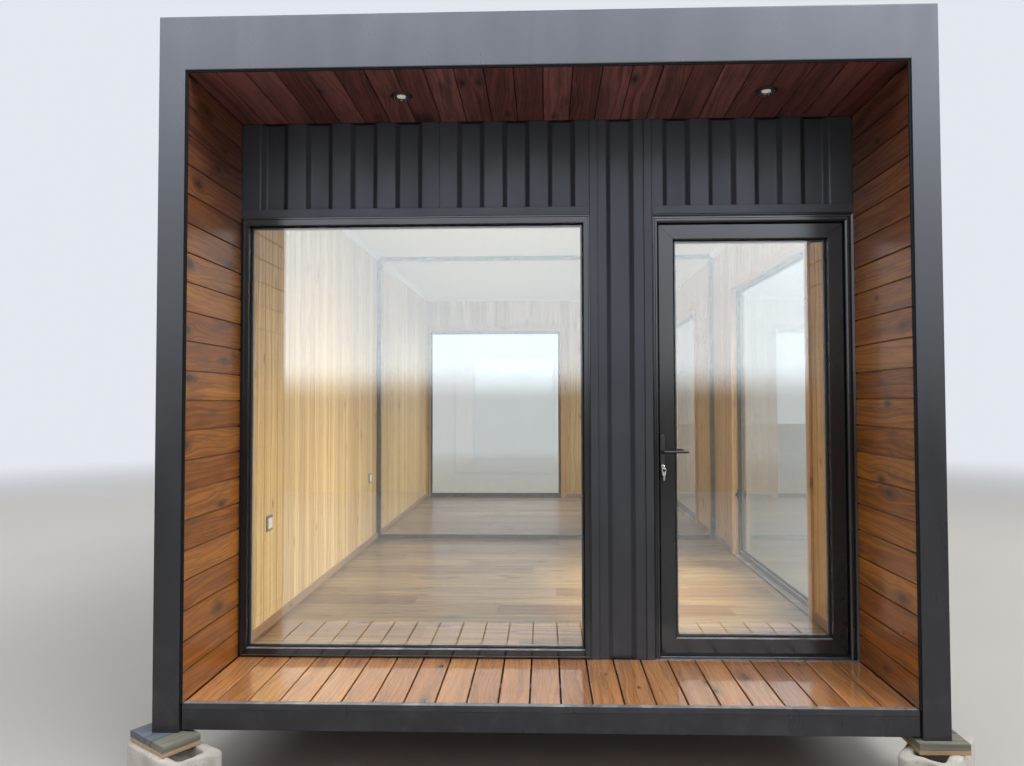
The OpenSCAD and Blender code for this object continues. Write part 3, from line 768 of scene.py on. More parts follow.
# %% [markdown]
# The sill under the deck is a pressed profile: a nosing along its top, a narrow shadow line under
# it, and a flange that the deck boards meet. It is the drawing's own outline with eased corners.

# %% Sills and floor rails
SILL_IN, SILL_WEB, SILL_FLANGE, FILLER_IN = 0.008, 0.030, 0.036, 0.022
NOSE, GROOVE, RAIL_LIFT, DECK_T = 0.023, 0.004, 0.008, 0.028
FACE_BACK, NOSE_LEAN = 0.0025, 0.0035
SILL_END = INNER - 0.008
nose_z, under_deck = RAIL_Z - NOSE, RAIL_Z - DECK_T
sill_outline = softened(
    [
        [SILL_IN + FACE_BACK, RAIL_LIFT], [SILL_IN + FACE_BACK, nose_z - 0.5 * GROOVE],
        [SILL_IN + 2.0 * GROOVE, nose_z - 0.25 * GROOVE], [SILL_IN + 2.0 * GROOVE, nose_z],
        [SILL_IN, nose_z], [SILL_IN + NOSE_LEAN, RAIL_Z], [SILL_FLANGE, RAIL_Z],
        [SILL_FLANGE, under_deck], [SILL_WEB, under_deck], [SILL_WEB, RAIL_LIFT],
    ],
    0.0012,
    closed=True,
)
sills = []
for face, inward in ((0.0, 1.0), (LENGTH, -1.0)):
    stops = [[-SILL_END, depth(face), height(0)], [SILL_END, depth(face), height(0)]]
    sills.append(carried(sill_outline, stops, inward * Y, Z))
    y0, y1 = sorted((depth(face + inward * FILLER_IN), depth(face + inward * SILL_WEB)))
    sills.append(bar((-INNER, y0, height(RAIL_LIFT)), (INNER, y1, height(under_deck)), 0, 0.001))
make("pressed_sills", sills, "cabin", steel_paint, ["end_sills"])

rails = []
for x0, x1 in ((-HALF_W, -ROOM_HALF), (ROOM_HALF, HALF_W)):
    rails.append(bar((x0, depth(POST), height(RAIL_LIFT)), (x1, depth(LENGTH - POST), height(RAIL_Z)), 1))
make("side_floor_rails", rails, "cabin", steel_paint, ["floor_rails"])


def dress(node, material):
    """A piece of the drawing that shows as it is gets one of the scene's finishes."""
    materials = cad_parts[node].data.materials
    materials.clear()
    materials.append(material)


dress("floor_joists", steel_paint)

# %% [markdown]
# The porch is lined with varnished pine: horizontal boards on its walls, boards that run back under
# its roof, and a deck with open joints. The wall boards touch in a V. The roof boards leave a slit
# over a dark strip, and the deck boards leave a wider one that is open.

# %% Porch boards
REVEAL, PANEL_OUT, STRIP_IN, STRIP_R = 0.010, 0.032, 0.004, 0.0005
WALL_BOARDS, SOFFIT_BOARDS, DECK_BOARDS = 21, 24, 23
WALL_T, SOFFIT_T, BACKING_T = 0.010, 0.0048, 0.0007
V_JOINT = dict(corner=0.0014, groove=0.0030, deep=0.0090)
SOFFIT_FRONT = BEAM_Z - 0.006
floor_z, roof_z, beam_z = height(RAIL_Z), height(PORCH_Z), height(SOFFIT_FRONT)
edge_y, wall_y = depth(REVEAL), depth(PORCH_D)
wall_pitch = (PORCH_Z - RAIL_Z) / WALL_BOARDS
side_cells = region(edge_y, wall_y, floor_z, roof_z, wall_pitch, floor_z)
for name, way, node in (
    ("left_porch_boards", X, "porch_wall_left"),
    ("right_porch_boards", -X, "porch_wall_right"),
):
    row = board_row(Y, Z, way, side_cells, -PORCH_HALF, WALL_T, **V_JOINT)
    lay(name, [row], "cabin", wall_boards, [node])

soffit_ends = (edge_y, depth(PORCH_D + 0.001))
soffit_pitch = 2 * INNER / SOFFIT_BOARDS
soffit_cells = region(*soffit_ends, -INNER, INNER, soffit_pitch, -INNER)
levels = (-beam_z, -roof_z)
row = board_row(Y, X, -Z, soffit_cells, levels, SOFFIT_T, 0.0014, gap=0.0042)
lay("soffit_boards", [row], "cabin", soffit_boards, ["porch_ceiling"])
levels = tuple(level - SOFFIT_T - 0.0001 for level in levels)
row = board_row(Y, X, -Z, [[*soffit_ends, -INNER, INNER]], levels, BACKING_T, 0.0002)
lay("soffit_joint_strips", [row], "cabin", rubber)

deck_pitch = 2 * PORCH_HALF / DECK_BOARDS
deck_cells = region(depth(SILL_FLANGE), wall_y, -PORCH_HALF, PORCH_HALF, deck_pitch, -PORCH_HALF)
row = board_row(Y, X, Z, deck_cells, floor_z, DECK_T, 0.0022, gap=0.0068)
lay("deck_boards_laid", [row], "cabin", deck_wood, ["porch_deck"])
print("board widths:", round(wall_pitch, 4), round(soffit_pitch, 4), round(deck_pitch, 4))

strips = []
strip_y = depth(STRIP_IN)
for x0, x1 in ((-INNER, -PORCH_HALF), (PORCH_HALF, INNER)):
    strips.append(bar((x0, strip_y, floor_z), (x1, edge_y, beam_z), 2, STRIP_R))
strips.append(bar((-INNER, strip_y, beam_z), (INNER, edge_y, height(BEAM_Z)), 0, STRIP_R))
low = (-INNER, depth(PORCH_D + 0.0015), roof_z)
strips.append(bar(low, (INNER, depth(PORCH_D + PANEL_OUT), height(PORCH_Z + 0.005)), 0, STRIP_R))
make("black_edge_strips", strips, "cabin", rubber, ["porch_edge_strips"])

# %% [markdown]
# The ribbed sheets are roll-formed steel. Their line is a row of crests and valleys joined by
# slanting flanks, with a small radius at each fold, and it is pushed upwards.
# A sheet is thin, so its front and back lines are joined into one closed band.

# %% Ribbed sheets
HALF_PITCH, FLANK, RIB, SHEET_T, SHEET_IN = 0.1035, 0.022, 0.025, 0.002, 0.005


def rib_line(u0, u1, first):
    """Front line of a sheet: crests at 0 and valleys at RIB, changing over each flank."""
    numbers = np.arange(
        math.ceil((u0 + FLANK - first) / HALF_PITCH - TINY),
        math.floor((u1 - FLANK - first) / HALF_PITCH + TINY) + 1,
    )
    centre = first + numbers * HALF_PITCH
    start = np.where(numbers % 2 == 0, 0.0, RIB)
    u = np.stack([centre - FLANK / 2, centre + FLANK / 2], 1).ravel()
    w = np.stack([start, RIB - start], 1).ravel()
    line = np.stack([np.r_[u0, u, u1], np.r_[w[0], w, w[-1]]], 1)
    return softened(line, 0.005)


def cut(line, u0, u1):
    """The part of a line between two places along it."""
    inside = line[(line[:, 0] > u0 + TINY) & (line[:, 0] < u1 - TINY)]
    ends = np.interp([u0, u1], line[:, 0], line[:, 1])
    return np.concatenate([[[u0, ends[0]]], inside, [[u1, ends[1]]]])


def band(place, line, z0, z1):
    """A closed band: the line's front and back, at two heights, as four rows of one grid."""
    u, w = line.T
    corners = ((0, z0), (0, z1), (SHEET_T, z1), (SHEET_T, z0))
    points = np.concatenate([place(u, w + t, np.full_like(u, z)) for t, z in corners])
    count = len(u)
    ends = np.array([np.arange(4) * count, np.arange(4) * count + count - 1])
    return points, [quads(4, count, True, False), ends]


def clad(name, sheets, node):
    """Ribbed sheets of one wall. Their folds are facets, so they aren't shaded smooth."""
    make(name, sheets, "cabin", sheet_paint, [node], rounded=False)


front_wall = plane((0, depth(PORCH_D)), X, Y)
front_sheets = plane((0, depth(PORCH_D + SHEET_IN)), X, Y)
left_face = plane((-HALF_W + SHEET_IN, FRONT), Y, X)
right_face = plane((HALF_W - SHEET_IN, FRONT), Y, -X)
rear_face = plane((0, depth(LENGTH - SHEET_IN)), X, -Y)

TRIM_W, TRIM_H, JOINT = 0.036, 0.040, 0.001
LAP_X = -PORCH_HALF + 0.911
middle = (WIN_X1 + JOINT + TRIM_W, DOOR_X0 - 2 * JOINT - TRIM_W)
over = WIN_Z1 + TRIM_H
sheets = [
    band(front_sheets, rib_line(-PORCH_HALF, LAP_X - JOINT, -PORCH_HALF + 0.096), over, PORCH_Z),
    band(front_sheets, rib_line(LAP_X + JOINT, WIN_X1, LAP_X + 0.091), over, PORCH_Z),
    band(front_sheets, rib_line(*middle, middle[0] + 0.050), RAIL_Z, PORCH_Z),
    band(front_sheets, rib_line(DOOR_X0, PORCH_HALF, DOOR_X0 + 0.060), over, PORCH_Z),
]
clad("front_ribbed_sheets", sheets, "front_cladding")

wall_line = rib_line(POST, LENGTH - POST, POST + HALF_PITCH / 2)
clad("left_ribbed_sheets", [band(left_face, wall_line, RAIL_Z, BEAM_Z)], "left_cladding")

right_sheets = []
start = POST
for d0, d1 in SIDE_WINDOWS:
    right_sheets.append(band(right_face, cut(wall_line, start, d0), RAIL_Z, BEAM_Z))
    right_sheets.append(band(right_face, cut(wall_line, d0, d1), RAIL_Z, WIN_Z0))
    right_sheets.append(band(right_face, cut(wall_line, d0, d1), WIN_Z1, BEAM_Z))
    start = d1
right_sheets.append(band(right_face, cut(wall_line, start, LENGTH - POST), RAIL_Z, BEAM_Z))
clad("right_ribbed_sheets", right_sheets, "right_cladding")

rear_line = rib_line(-INNER, INNER, -INNER + HALF_PITCH / 2)
rear_sheets = [
    band(rear_face, cut(rear_line, -INNER, WIN_X0), RAIL_Z, BEAM_Z),
    band(rear_face, cut(rear_line, WIN_X0, WIN_X1), RAIL_Z, WIN_Z0),
    band(rear_face, cut(rear_line, WIN_X0, WIN_X1), WIN_Z1, BEAM_Z),
    band(rear_face, cut(rear_line, WIN_X1, INNER), RAIL_Z, BEAM_Z),
]
clad("rear_ribbed_sheets", rear_sheets, "rear_cladding")

# %% [markdown]
# Flat folded trims cover the sheets' cut edges beside the window and the door and over them.
# They are thin folded strips, held by small domed rivets.

# %% Trims and rivets
trim_d = (depth(PORCH_D - 0.002), depth(PORCH_D + 0.029))
trims = []
for x0, x1 in ((middle[0] - TRIM_W, middle[0] - JOINT), (middle[1] + JOINT, middle[1] + TRIM_W)):
    trims.append(bar((x0, trim_d[0], height(RAIL_Z)), (x1, trim_d[1], height(PORCH_Z)), 2, 0.0015))
for x0, x1 in ((-PORCH_HALF, WIN_X1), (DOOR_X0, PORCH_HALF)):
    low = (x0, trim_d[0], height(WIN_Z1 + JOINT))
    trims.append(bar(low, (x1, trim_d[1], height(over - JOINT)), 0, 0.0015))
make("folded_trims", trims, "cabin", sheet_paint, ["front_trims"])

POLE = 0.02
dome_turn = np.linspace(0, np.pi / 2, 4)
dome = np.stack([np.cos(dome_turn), np.sin(dome_turn)], 1)
dome[-1, 0] = POLE


def studs(centres, axis, radius, rise):
    """Small domes on a flat face: one turned outline, repeated at every centre.

    The outline is (cos(turn) * radius, sin(turn) * rise), and stops at a tiny ring round the axis.
    """
    outline = np.concatenate([[[POLE, 0.0]], dome]) * [radius, rise]
    points, groups = turned(outline, (0, 0, 0), axis, 8)
    centres = np.asarray(centres, float)
    every = (centres[:, None] + points[None]).reshape(-1, 3)
    shift = len(points) * np.arange(len(centres))[:, None, None]
    return every, [(np.asarray(g)[None] + shift).reshape(-1, np.asarray(g).shape[1]) for g in groups]


RIVET_R, RIVET_RISE, RIVET_EDGE = 0.0032, 0.0012, 0.006
UPRIGHT_STEP, LEVEL_STEP = 0.27, 0.31
rivet_z = np.arange(RAIL_Z + 0.09, PORCH_Z, UPRIGHT_STEP)
rivets = []
for x in (middle[0] - RIVET_EDGE, middle[1] + RIVET_EDGE):
    rivets.append([[x, trim_d[0], height(z)] for z in rivet_z])
for x0, x1 in ((-PORCH_HALF + 0.08, WIN_X1 - 0.04), (DOOR_X0 + 0.07, PORCH_HALF - 0.05)):
    rivets.append([[x, trim_d[0], height(over - 0.007)] for x in np.arange(x0, x1, LEVEL_STEP)])
heads = studs(np.concatenate(rivets), -Y, RIVET_R, RIVET_RISE)
make("trim_rivets", [heads], "cabin", sheet_paint)

# %% [markdown]
# The side sheets are held by rows of screws in their valleys: low, half way up and high.
# Round heads with a washer would be one or two pixels here, so a small dome stands for both.

# %% Screws of the side walls
SCREW_X = HALF_W - SHEET_IN - 0.0245
SCREW_ROWS = (RAIL_Z + 0.10, 1.32, BEAM_Z - 0.08)
SCREW_R, SCREW_RISE = 0.007, 0.004
valley = np.arange(POST + HALF_PITCH, LENGTH - POST - 0.05, 2 * HALF_PITCH)
left_screws = []
right_screws = []
for z in SCREW_ROWS:
    for d in valley:
        left_screws.append([-SCREW_X, depth(d), height(z)])
        at_window = any(d0 - 0.02 < d < d1 + 0.02 for d0, d1 in SIDE_WINDOWS)
        if not (at_window and z < WIN_Z1):
            right_screws.append([SCREW_X, depth(d), height(z)])
screws = [studs(left_screws, -X, SCREW_R, SCREW_RISE), studs(right_screws, X, SCREW_R, SCREW_RISE)]
make("cladding_screws", screws, "cabin", sheet_paint)

# %% [markdown]
# Every window is the same unit: a mitred frame of extruded profile, a rubber gasket, two sheets of
# glass and the metal spacer between them. One function builds it on any wall.
# Two thin sheets are used, not one block, because each sheet mirrors the sky a second time.

# %% Windows
WIN_SIDE, WIN_HEAD, WIN_T = 0.030, 0.038, 0.060
frame_outline = profile(
    WIN_SIDE,
    [
        [0.0, 0.0], [0.0050, 0.0], [0.0056, 0.0025], [0.0072, 0.0025], [0.0078, 0.0],
        [0.0272, 0.0], [0.0290, 0.011], [WIN_SIDE, 0.013], [WIN_SIDE, WIN_T], [0.0, WIN_T],
    ],
    0.0009,
    3,
)
PANE_T, PANE_LIP, GASKET_T, SPACER_W = 0.004, 0.004, 0.005, 0.011
WINDOW_SHEETS, LEAF_SHEETS = (0.019, 0.037), (0.018, 0.036)


def pane(place, rect, at):
    """A sheet of glass as a closed block between two depths."""
    h0, h1, z0, z1 = rect
    corners = np.array([[h0, z0], [h1, z0], [h1, z1], [h0, z1]])
    sides = [place(corners[:, 0], np.full(4, w), corners[:, 1]) for w in (at, at + PANE_T)]
    return np.concatenate(sides), [quads(2, 4, False, True), end_caps(2, 4)]


def glazing(place, rect, first, second):
    """Two sheets, the gasket in front of them and behind, and the spacer between them."""
    panes = [pane(place, rect, first), pane(place, rect, second)]
    lip = np.array([[0.0, 0.0], [1.0, 0.0015], [1.0, GASKET_T], [0.0, GASKET_T]])
    gaskets = mitred(place, rect, (PANE_LIP,) * 4, lip + [0.0, first - GASKET_T])
    behind = second + PANE_T + GASKET_T
    gaskets += mitred(place, rect, (PANE_LIP,) * 4, lip * [1.0, -1.0] + [0.0, behind])
    block = np.array([[0.0, first + PANE_T], [1.0, first + PANE_T], [1.0, second], [0.0, second]])
    return panes, gaskets, mitred(place, rect, (SPACER_W,) * 4, block)


def window(place, h0):
    """Frame, panes, gaskets and spacers of one window that starts at h0 along its wall."""
    rect = (h0, h0 + WIN_W, WIN_Z0, WIN_Z1)
    bars = mitred(place, rect, (WIN_SIDE, WIN_SIDE, WIN_HEAD, WIN_HEAD), frame_outline, 0.0005)
    inside = (h0 + WIN_SIDE, h0 + WIN_W - WIN_SIDE, WIN_Z0 + WIN_HEAD, WIN_Z1 - WIN_HEAD)
    return (bars, *glazing(place, inside, *WINDOW_SHEETS))


bars, panes, gaskets, spacers = window(front_wall, WIN_X0)
make("front_window_bars", bars, "cabin", window_paint, ["front_window_frame"])
make("front_window_panes", panes, "cabin", coated_glass, ["front_window_glass"], rounded=False)
room_windows = [window(right_face, d0) for d0, _ in SIDE_WINDOWS] + [window(rear_face, WIN_X0)]
bars, panes, more_gaskets, more_spacers = (sum(kind, []) for kind in zip(*room_windows))
make("room_window_bars", bars, "cabin", window_paint, ["room_window_frames"])
room_face = HALF_W - SHEET_IN - WIN_T
# A plate and its knob: reach into the room, half the width, foot and head.
plate_and_knob = ((0.010, 0.008, 0.525, 0.595), (0.022, 0.005, 0.548, 0.572))
fittings = []
for _, d1 in SIDE_WINDOWS:
    stile = depth(d1 - 0.021)
    for reach, half, z0, z1 in plate_and_knob:
        low = (room_face - reach, stile - half, height(z0))
        fittings.append(bar(low, (room_face + 0.001, stile + half, height(z1)), 2, 0.002))
make("window_stile_fittings", fittings, "cabin", window_paint)
make("room_window_panes", panes, "cabin", plain_glass, ["room_window_glass"], rounded=False)
make("window_gaskets", gaskets + more_gaskets, "cabin", rubber, rounded=False)
make("window_spacers", spacers + more_spacers, "cabin", spacer_metal, rounded=False)

# %% [markdown]
# The door frame has a lip in front of the leaf and a body round its edges. Lip and body are two
# outlines carried round the same rectangle, open at the bottom, where the threshold lies.

# %% Door frame
DOOR_T, LIP_T = 0.075, 0.012
LIP_W, BODY_W = 0.024, 0.011
lip_outline = profile(
    LIP_W,
    [
        [0.0, 0.0], [0.0030, 0.0], [0.0050, 0.0045], [0.0105, 0.0045], [0.0120, 0.0], [0.0200, 0.0],
        [LIP_W, 0.006], [LIP_W, LIP_T], [0.0, LIP_T],
    ],
    0.0022,
)
body_outline = profile(BODY_W, [[0.0, LIP_T], [BODY_W, LIP_T], [BODY_W, DOOR_T], [0.0, DOOR_T]], 0.001)
door_rect = (DOOR_X0, DOOR_X1, FLOOR_Z, WIN_Z1)
jambs = mitred(front_wall, door_rect, (LIP_W, 0.040, 0.0, 0.040), lip_outline, 0.0003, "tlr")
jambs += mitred(front_wall, door_rect, (BODY_W, 0.027, 0.0, 0.027), body_outline, 0.0002, "tlr")
make("door_frame_bars", jambs, "cabin", door_paint, ["door_jambs", "door_head"])

step = softened(
    [
        [0.0, under_deck], [0.0, FLOOR_Z - 0.003], [0.006, FLOOR_Z], [0.020, FLOOR_Z],
        [0.021, FLOOR_Z - 0.002], [0.026, FLOOR_Z - 0.002], [0.027, FLOOR_Z], [0.082, FLOOR_Z],
        [0.082, under_deck],
    ],
    0.0008,
    closed=True,
)
stops = [[DOOR_X0, wall_y, FOOT], [DOOR_X1, wall_y, FOOT]]
threshold = [carried(step, stops, Y, Z)]
make("threshold_profile", threshold, "cabin", dark_metal, ["door_threshold"])

# %% [markdown]
# The leaf is four hollow profiles mitred at the corners. The hairline of each mitre shows on the
# real door, so the four bars stay separate with a gap of about a millimetre.

# %% Door leaf
STILE, BOTTOM = 0.082, 0.080
leaf_outline = profile(
    STILE,
    [
        [0.0, 0.006], [0.0130, 0.0015], [0.0140, 0.0], [0.0775, 0.0], [0.0800, 0.009], [STILE, 0.012],
        [STILE, 0.058], [0.0, 0.058],
    ],
    0.0014,
    3,
)
leaf_plane = plane((0, depth(LEAF_D[0])), X, Y)
leaf_rect = (*LEAF_X, *LEAF_Z)
leaf_bars = mitred(leaf_plane, leaf_rect, (STILE, STILE, BOTTOM, STILE), leaf_outline, 0.0007)
make("door_leaf_bars", leaf_bars, "door", door_paint, ["door_leaf"])
glass_rect = (LEAF_X[0] + STILE, LEAF_X[1] - STILE, LEAF_Z[0] + BOTTOM, LEAF_Z[1] - STILE)
panes, gaskets, spacers = glazing(leaf_plane, glass_rect, *LEAF_SHEETS)
make("door_panes", panes, "door", coated_glass, ["door_glass"], rounded=False)
make("door_gaskets", gaskets, "door", rubber, rounded=False)
make("door_spacers", spacers, "door", spacer_metal, rounded=False)

# %% [markdown]
# The handle set: a long plate inside and outside, levers on one spindle, and the lock below with a
# key in it and a second key on the ring. Levers are a circle carried along a bent line whose radius
# closes at its end, so they finish in a rounded tip.

# %% Handle plates, levers and keys


def stadium(radius, half, steps=12):
    """Outline of a plate with half-round ends: circle points pushed up or down by half."""
    turn = np.linspace(0, np.pi, steps)
    top = np.stack([radius * np.cos(turn), half + radius * np.sin(turn)], 1)
    return np.concatenate([top, -top])


def stacked(outlines, levels, centre, across, up, out):
    """Outlines of equal length laid over each other at levels along out."""
    stops = np.asarray(centre, float) + np.outer(levels, out)
    return carried(np.array(outlines), stops, across, up)


def swept(path, radii, sides=16):
    """A round bar along a path in a level plane, with a radius at each stop.

    Point = stop + radius * (cos(turn) * across + sin(turn) * up).
    """
    path = np.asarray(path, float)
    run = np.gradient(path, axis=0)
    run /= np.linalg.norm(run, axis=1, keepdims=True)
    across = np.cross(run, Z)
    turn = np.linspace(0, 2 * np.pi, sides, endpoint=False)
    circle = np.stack([np.cos(turn), np.sin(turn)], 1)
    outlines = circle[None] * np.asarray(radii, float)[:, None, None]
    return carried(outlines, path, across, Z)


PLATE_R, PLATE_T, PLATE_UP, PLATE_DOWN = 0.012, 0.008, 0.077, 0.110
PLATE_H = PLATE_UP + PLATE_DOWN
plate_mid = LEVER_Z + (PLATE_UP - PLATE_DOWN) / 2
radii = [PLATE_R - 0.0005, PLATE_R, PLATE_R, PLATE_R - 0.0012, PLATE_R - 0.003]
levels = [0.0, 0.0006, PLATE_T - 0.0025, PLATE_T - 0.0006, PLATE_T]
outlines = [stadium(radius, PLATE_H / 2 - PLATE_R) for radius in radii]
plates = []
for face, out in ((LEAF_D[0], -Y), (LEAF_D[1], Y)):
    centre = (LEVER_X, depth(face), height(plate_mid))
    plates.append(stacked(outlines, levels, centre, X, Z, out))
make("handle_plates", plates, "door", black_paint, ["door_plates"])

REACH, LEVER_R, BEND_R, SPINDLE_HALF = 0.044, 0.007, 0.014, 0.00315
far = REACH - LEVER_R
bend = np.linspace(0, np.pi / 2, 8)
out = np.r_[0.0003, 0.012, 0.020, far - BEND_R + BEND_R * np.sin(bend), np.full(6, far)]
side = np.r_[0.0, 0.0, 0.0, BEND_R * (1 - np.cos(bend)), 0.03, 0.06, 0.100, 0.108, 0.1115, 0.112]
thin = np.linspace(0.0076, 0.0068, 8)
radius = np.r_[0.009, 0.009, 0.0078, thin, 0.0066, 0.0064, 0.0062, 0.0052, 0.003, 0.0004]
level = np.full_like(side, height(LEVER_Z))
levers = []
for face, sign in ((LEAF_D[0], -1.0), (LEAF_D[1], 1.0)):
    levers.append(swept(np.stack([LEVER_X + side, depth(face) + sign * out, level], 1), radius))
spindle = np.array([[-1, -1], [1, -1], [1, 1], [-1, 1]]) * SPINDLE_HALF
stops = [[LEVER_X, depth(d), height(LEVER_Z)] for d in (LEAF_D[0] - 0.02, LEAF_D[1] + 0.02)]
levers.append(carried(spindle, stops, X, Z))
make("lever_handles", levers, "levers", black_paint, ["door_levers"])

lock_z = LEVER_Z - 0.066
lock_face = depth(LEAF_D[0] - PLATE_T)
lock_line = softened([[0.0005, 0.0], [0.008, 0.0], [0.008, 0.003], [0.0005, 0.003]], 0.0008, True)
lock = [turned(lock_line, (LEVER_X, lock_face, height(lock_z)), -Y, 24)]
key_round = np.linspace(0, 2 * np.pi, 24, endpoint=False)
bow = np.stack([-0.006 - 0.006 * np.cos(key_round), 0.0105 * np.sin(key_round)], 1)
blade = softened([[0, -0.0035], [-0.022, -0.0035], [-0.022, 0.0035], [0, 0.0035]], 0.001, True)
for before, outline in ((0.022, bow), (0.002, blade)):
    centre = np.array([LEVER_X, lock_face - before, height(lock_z)])
    lock.append(carried(outline, centre + [[-0.001, 0, 0], [0.001, 0, 0]], Y, Z))
ring_centre = (LEVER_X, lock_face - 0.030, height(lock_z - 0.016))
circle = np.stack([0.0095 + 0.0008 * np.cos(key_round[::3]), 0.0008 * np.sin(key_round[::3])], 1)
lock.append(turned(circle, ring_centre, Y, 40))
stops = [[LEVER_X, lock_face - 0.031, FOOT], [LEVER_X, lock_face - 0.029, FOOT]]
for width, top, bottom in ((0.0065, -0.024, -0.041), (0.003, -0.040, -0.060)):
    outline = box_outline(-width, width, lock_z + bottom, lock_z + top, 0.004)
    lock.append(carried(outline, stops, X, Z))
make("lock_and_keys", lock, "door", bright_metal)

# %% [markdown]
# Three lift-off hinges stand behind the leaf's edge: lower knuckles on the frame, upper ones on the
# leaf, each with eased ends and a flap.

# %% Hinges
KNUCKLE_R, KNUCKLE_H, RUN_GAP = 0.008, 0.034, 0.0003
FLAP_W, FLAP_T = 0.034, 0.004
HINGES_Z = (LEAF_Z[0] + 0.180, (LEAF_Z[0] + LEAF_Z[1]) / 2, LEAF_Z[1] - 0.220)
hinge_x = LEAF_X[1] + 0.003
hinge_y = depth(LEAF_D[1] + KNUCKLE_R)
barrel = softened(
    [[0.0003, 0.0], [KNUCKLE_R, 0.0], [KNUCKLE_R, KNUCKLE_H], [0.0003, KNUCKLE_H]], 0.0015, True
)
upper = []
lower = []
for z in HINGES_Z:
    foot = height(z + RUN_GAP)
    upper.append(turned(barrel, (hinge_x, hinge_y, foot), Z, 24))
    high = (hinge_x, depth(LEAF_D[1] + FLAP_T), height(z + RUN_GAP + KNUCKLE_H))
    upper.append(bar((hinge_x - FLAP_W, depth(LEAF_D[1]), foot), high, 2, 0.001))
    foot = height(z - KNUCKLE_H)
    lower.append(turned(barrel, (hinge_x, hinge_y, foot), Z, 24))
    high = (DOOR_X1 - 0.004, depth(PORCH_D + DOOR_T + FLAP_T), height(z))
    lower.append(bar((hinge_x, depth(PORCH_D + DOOR_T), foot), high, 2, 0.001))
make("upper_hinge_knuckles", upper, "door", door_paint, ["leaf_hinges"])
make("lower_hinge_knuckles", lower, "cabin", door_paint, ["frame_hinges"])

# %% [markdown]
# Two round spotlights sit in the porch roof: a dark ring, a bright cone inside it and a pale lens.
# Each is an outline turned round an upright axis. The lens glows a little, as a lit lamp does by day.

# %% Spotlights
SPOTS, SPOT_D = (-PORCH_HALF + 0.790, PORCH_HALF - 0.461), 0.250
ring_line = softened(
    [[0.0375, 0.0], [0.047, 0.0], [0.0462, 0.0035], [0.0405, 0.008], [0.0375, 0.0078]], 0.0012, True
)
cone_line = softened(
    [[0.018, 0.0004], [0.0376, 0.0004], [0.0376, 0.0074], [0.0368, 0.0074], [0.0185, 0.0012]],
    0.0003,
    True,
)
lens_line = [
    [0.0003, 0.0006], [0.0185, 0.0006], [0.0180, 0.0022], [0.0130, 0.0036], [0.0070, 0.0043],
    [0.0003, 0.0045],
]
lens = speckled(
    "lamp_lens", (0.50, 0.46, 0.38), (0.66, 0.62, 0.53), 220.0, 0.3, 0.0002,
    Emission_Color=(1.0, 0.93, 0.78, 1.0), Emission_Strength=0.22,
)
spot_z = height(SOFFIT_FRONT + (PORCH_Z - SOFFIT_FRONT) * SPOT_D / PORCH_D)
for name, outline, steps, finish, replaced in (
    ("spotlight_rings", ring_line, 40, black_paint, ["spotlights"]),
    ("spotlight_cones", cone_line, 40, bright_metal, []),
    ("spotlight_lenses", lens_line, 32, lens, []),
):
    parts = [turned(outline, (x, depth(SPOT_D), spot_z), -Z, steps) for x in SPOTS]
    make(name, parts, "cabin", finish, replaced)

# %% [markdown]
# The room is lined with upright pine boards on every wall. The walls are cut through for the
# windows, so each wall is laid as a few rectangles whose boards keep one common spacing.
# Thin dark strips close the joints from behind where the front wall has no sheet over it.

# %% Room walls
PINE_PITCH = 0.090
PINE_JOINT = dict(corner=0.0032, groove=0.0018, deep=0.007)
FOIL = 0.003


def wall_rows(across, out, level, thickness, pieces, first):
    """Rows of upright boards, one for each rectangle of a wall."""
    rows = []
    for edge0, edge1, z0, z1 in pieces:
        cells = region(height(z0), height(z1), edge0, edge1, PINE_PITCH, first)
        rows.append(board_row(Z, across, out, cells, level, thickness, **PINE_JOINT))
    return rows


def line_wall(name, rows, *nodes):
    """The pine boards of one wall, in place of the drawing's panels."""
    lay(name, rows, "cabin", room_pine, nodes)


side_t = HALF_W - PANEL_OUT - ROOM_HALF
first = depth(ROOM_D0)
pieces = [(depth(POST), depth(LENGTH - POST), RAIL_Z, BEAM_Z)]
line_wall("left_room_boards", wall_rows(Y, X, -ROOM_HALF, side_t, pieces, first), "left_wall")

piers = []
bands = []
start = POST
for d0, d1 in SIDE_WINDOWS:
    piers.append((depth(start), depth(d0), RAIL_Z, BEAM_Z))
    bands += [(depth(d0), depth(d1), RAIL_Z, WIN_Z0), (depth(d0), depth(d1), WIN_Z1, BEAM_Z)]
    start = d1
piers.append((depth(start), depth(LENGTH - POST), RAIL_Z, BEAM_Z))
rows = wall_rows(Y, -X, -ROOM_HALF, side_t, piers + bands, first)
line_wall("right_room_boards", rows, "right_wall_piers", "right_wall_bands")

rear_t = LENGTH - PANEL_OUT - ROOM_D1
pieces = [(-INNER, WIN_X0, RAIL_Z, BEAM_Z), (WIN_X1, INNER, RAIL_Z, BEAM_Z)]
pieces += [(WIN_X0, WIN_X1, RAIL_Z, WIN_Z0), (WIN_X0, WIN_X1, WIN_Z1, BEAM_Z)]
rows = wall_rows(X, -Y, -depth(ROOM_D1), rear_t, pieces, -ROOM_HALF)
line_wall("rear_room_boards", rows, "rear_wall_piers", "rear_wall_bands")

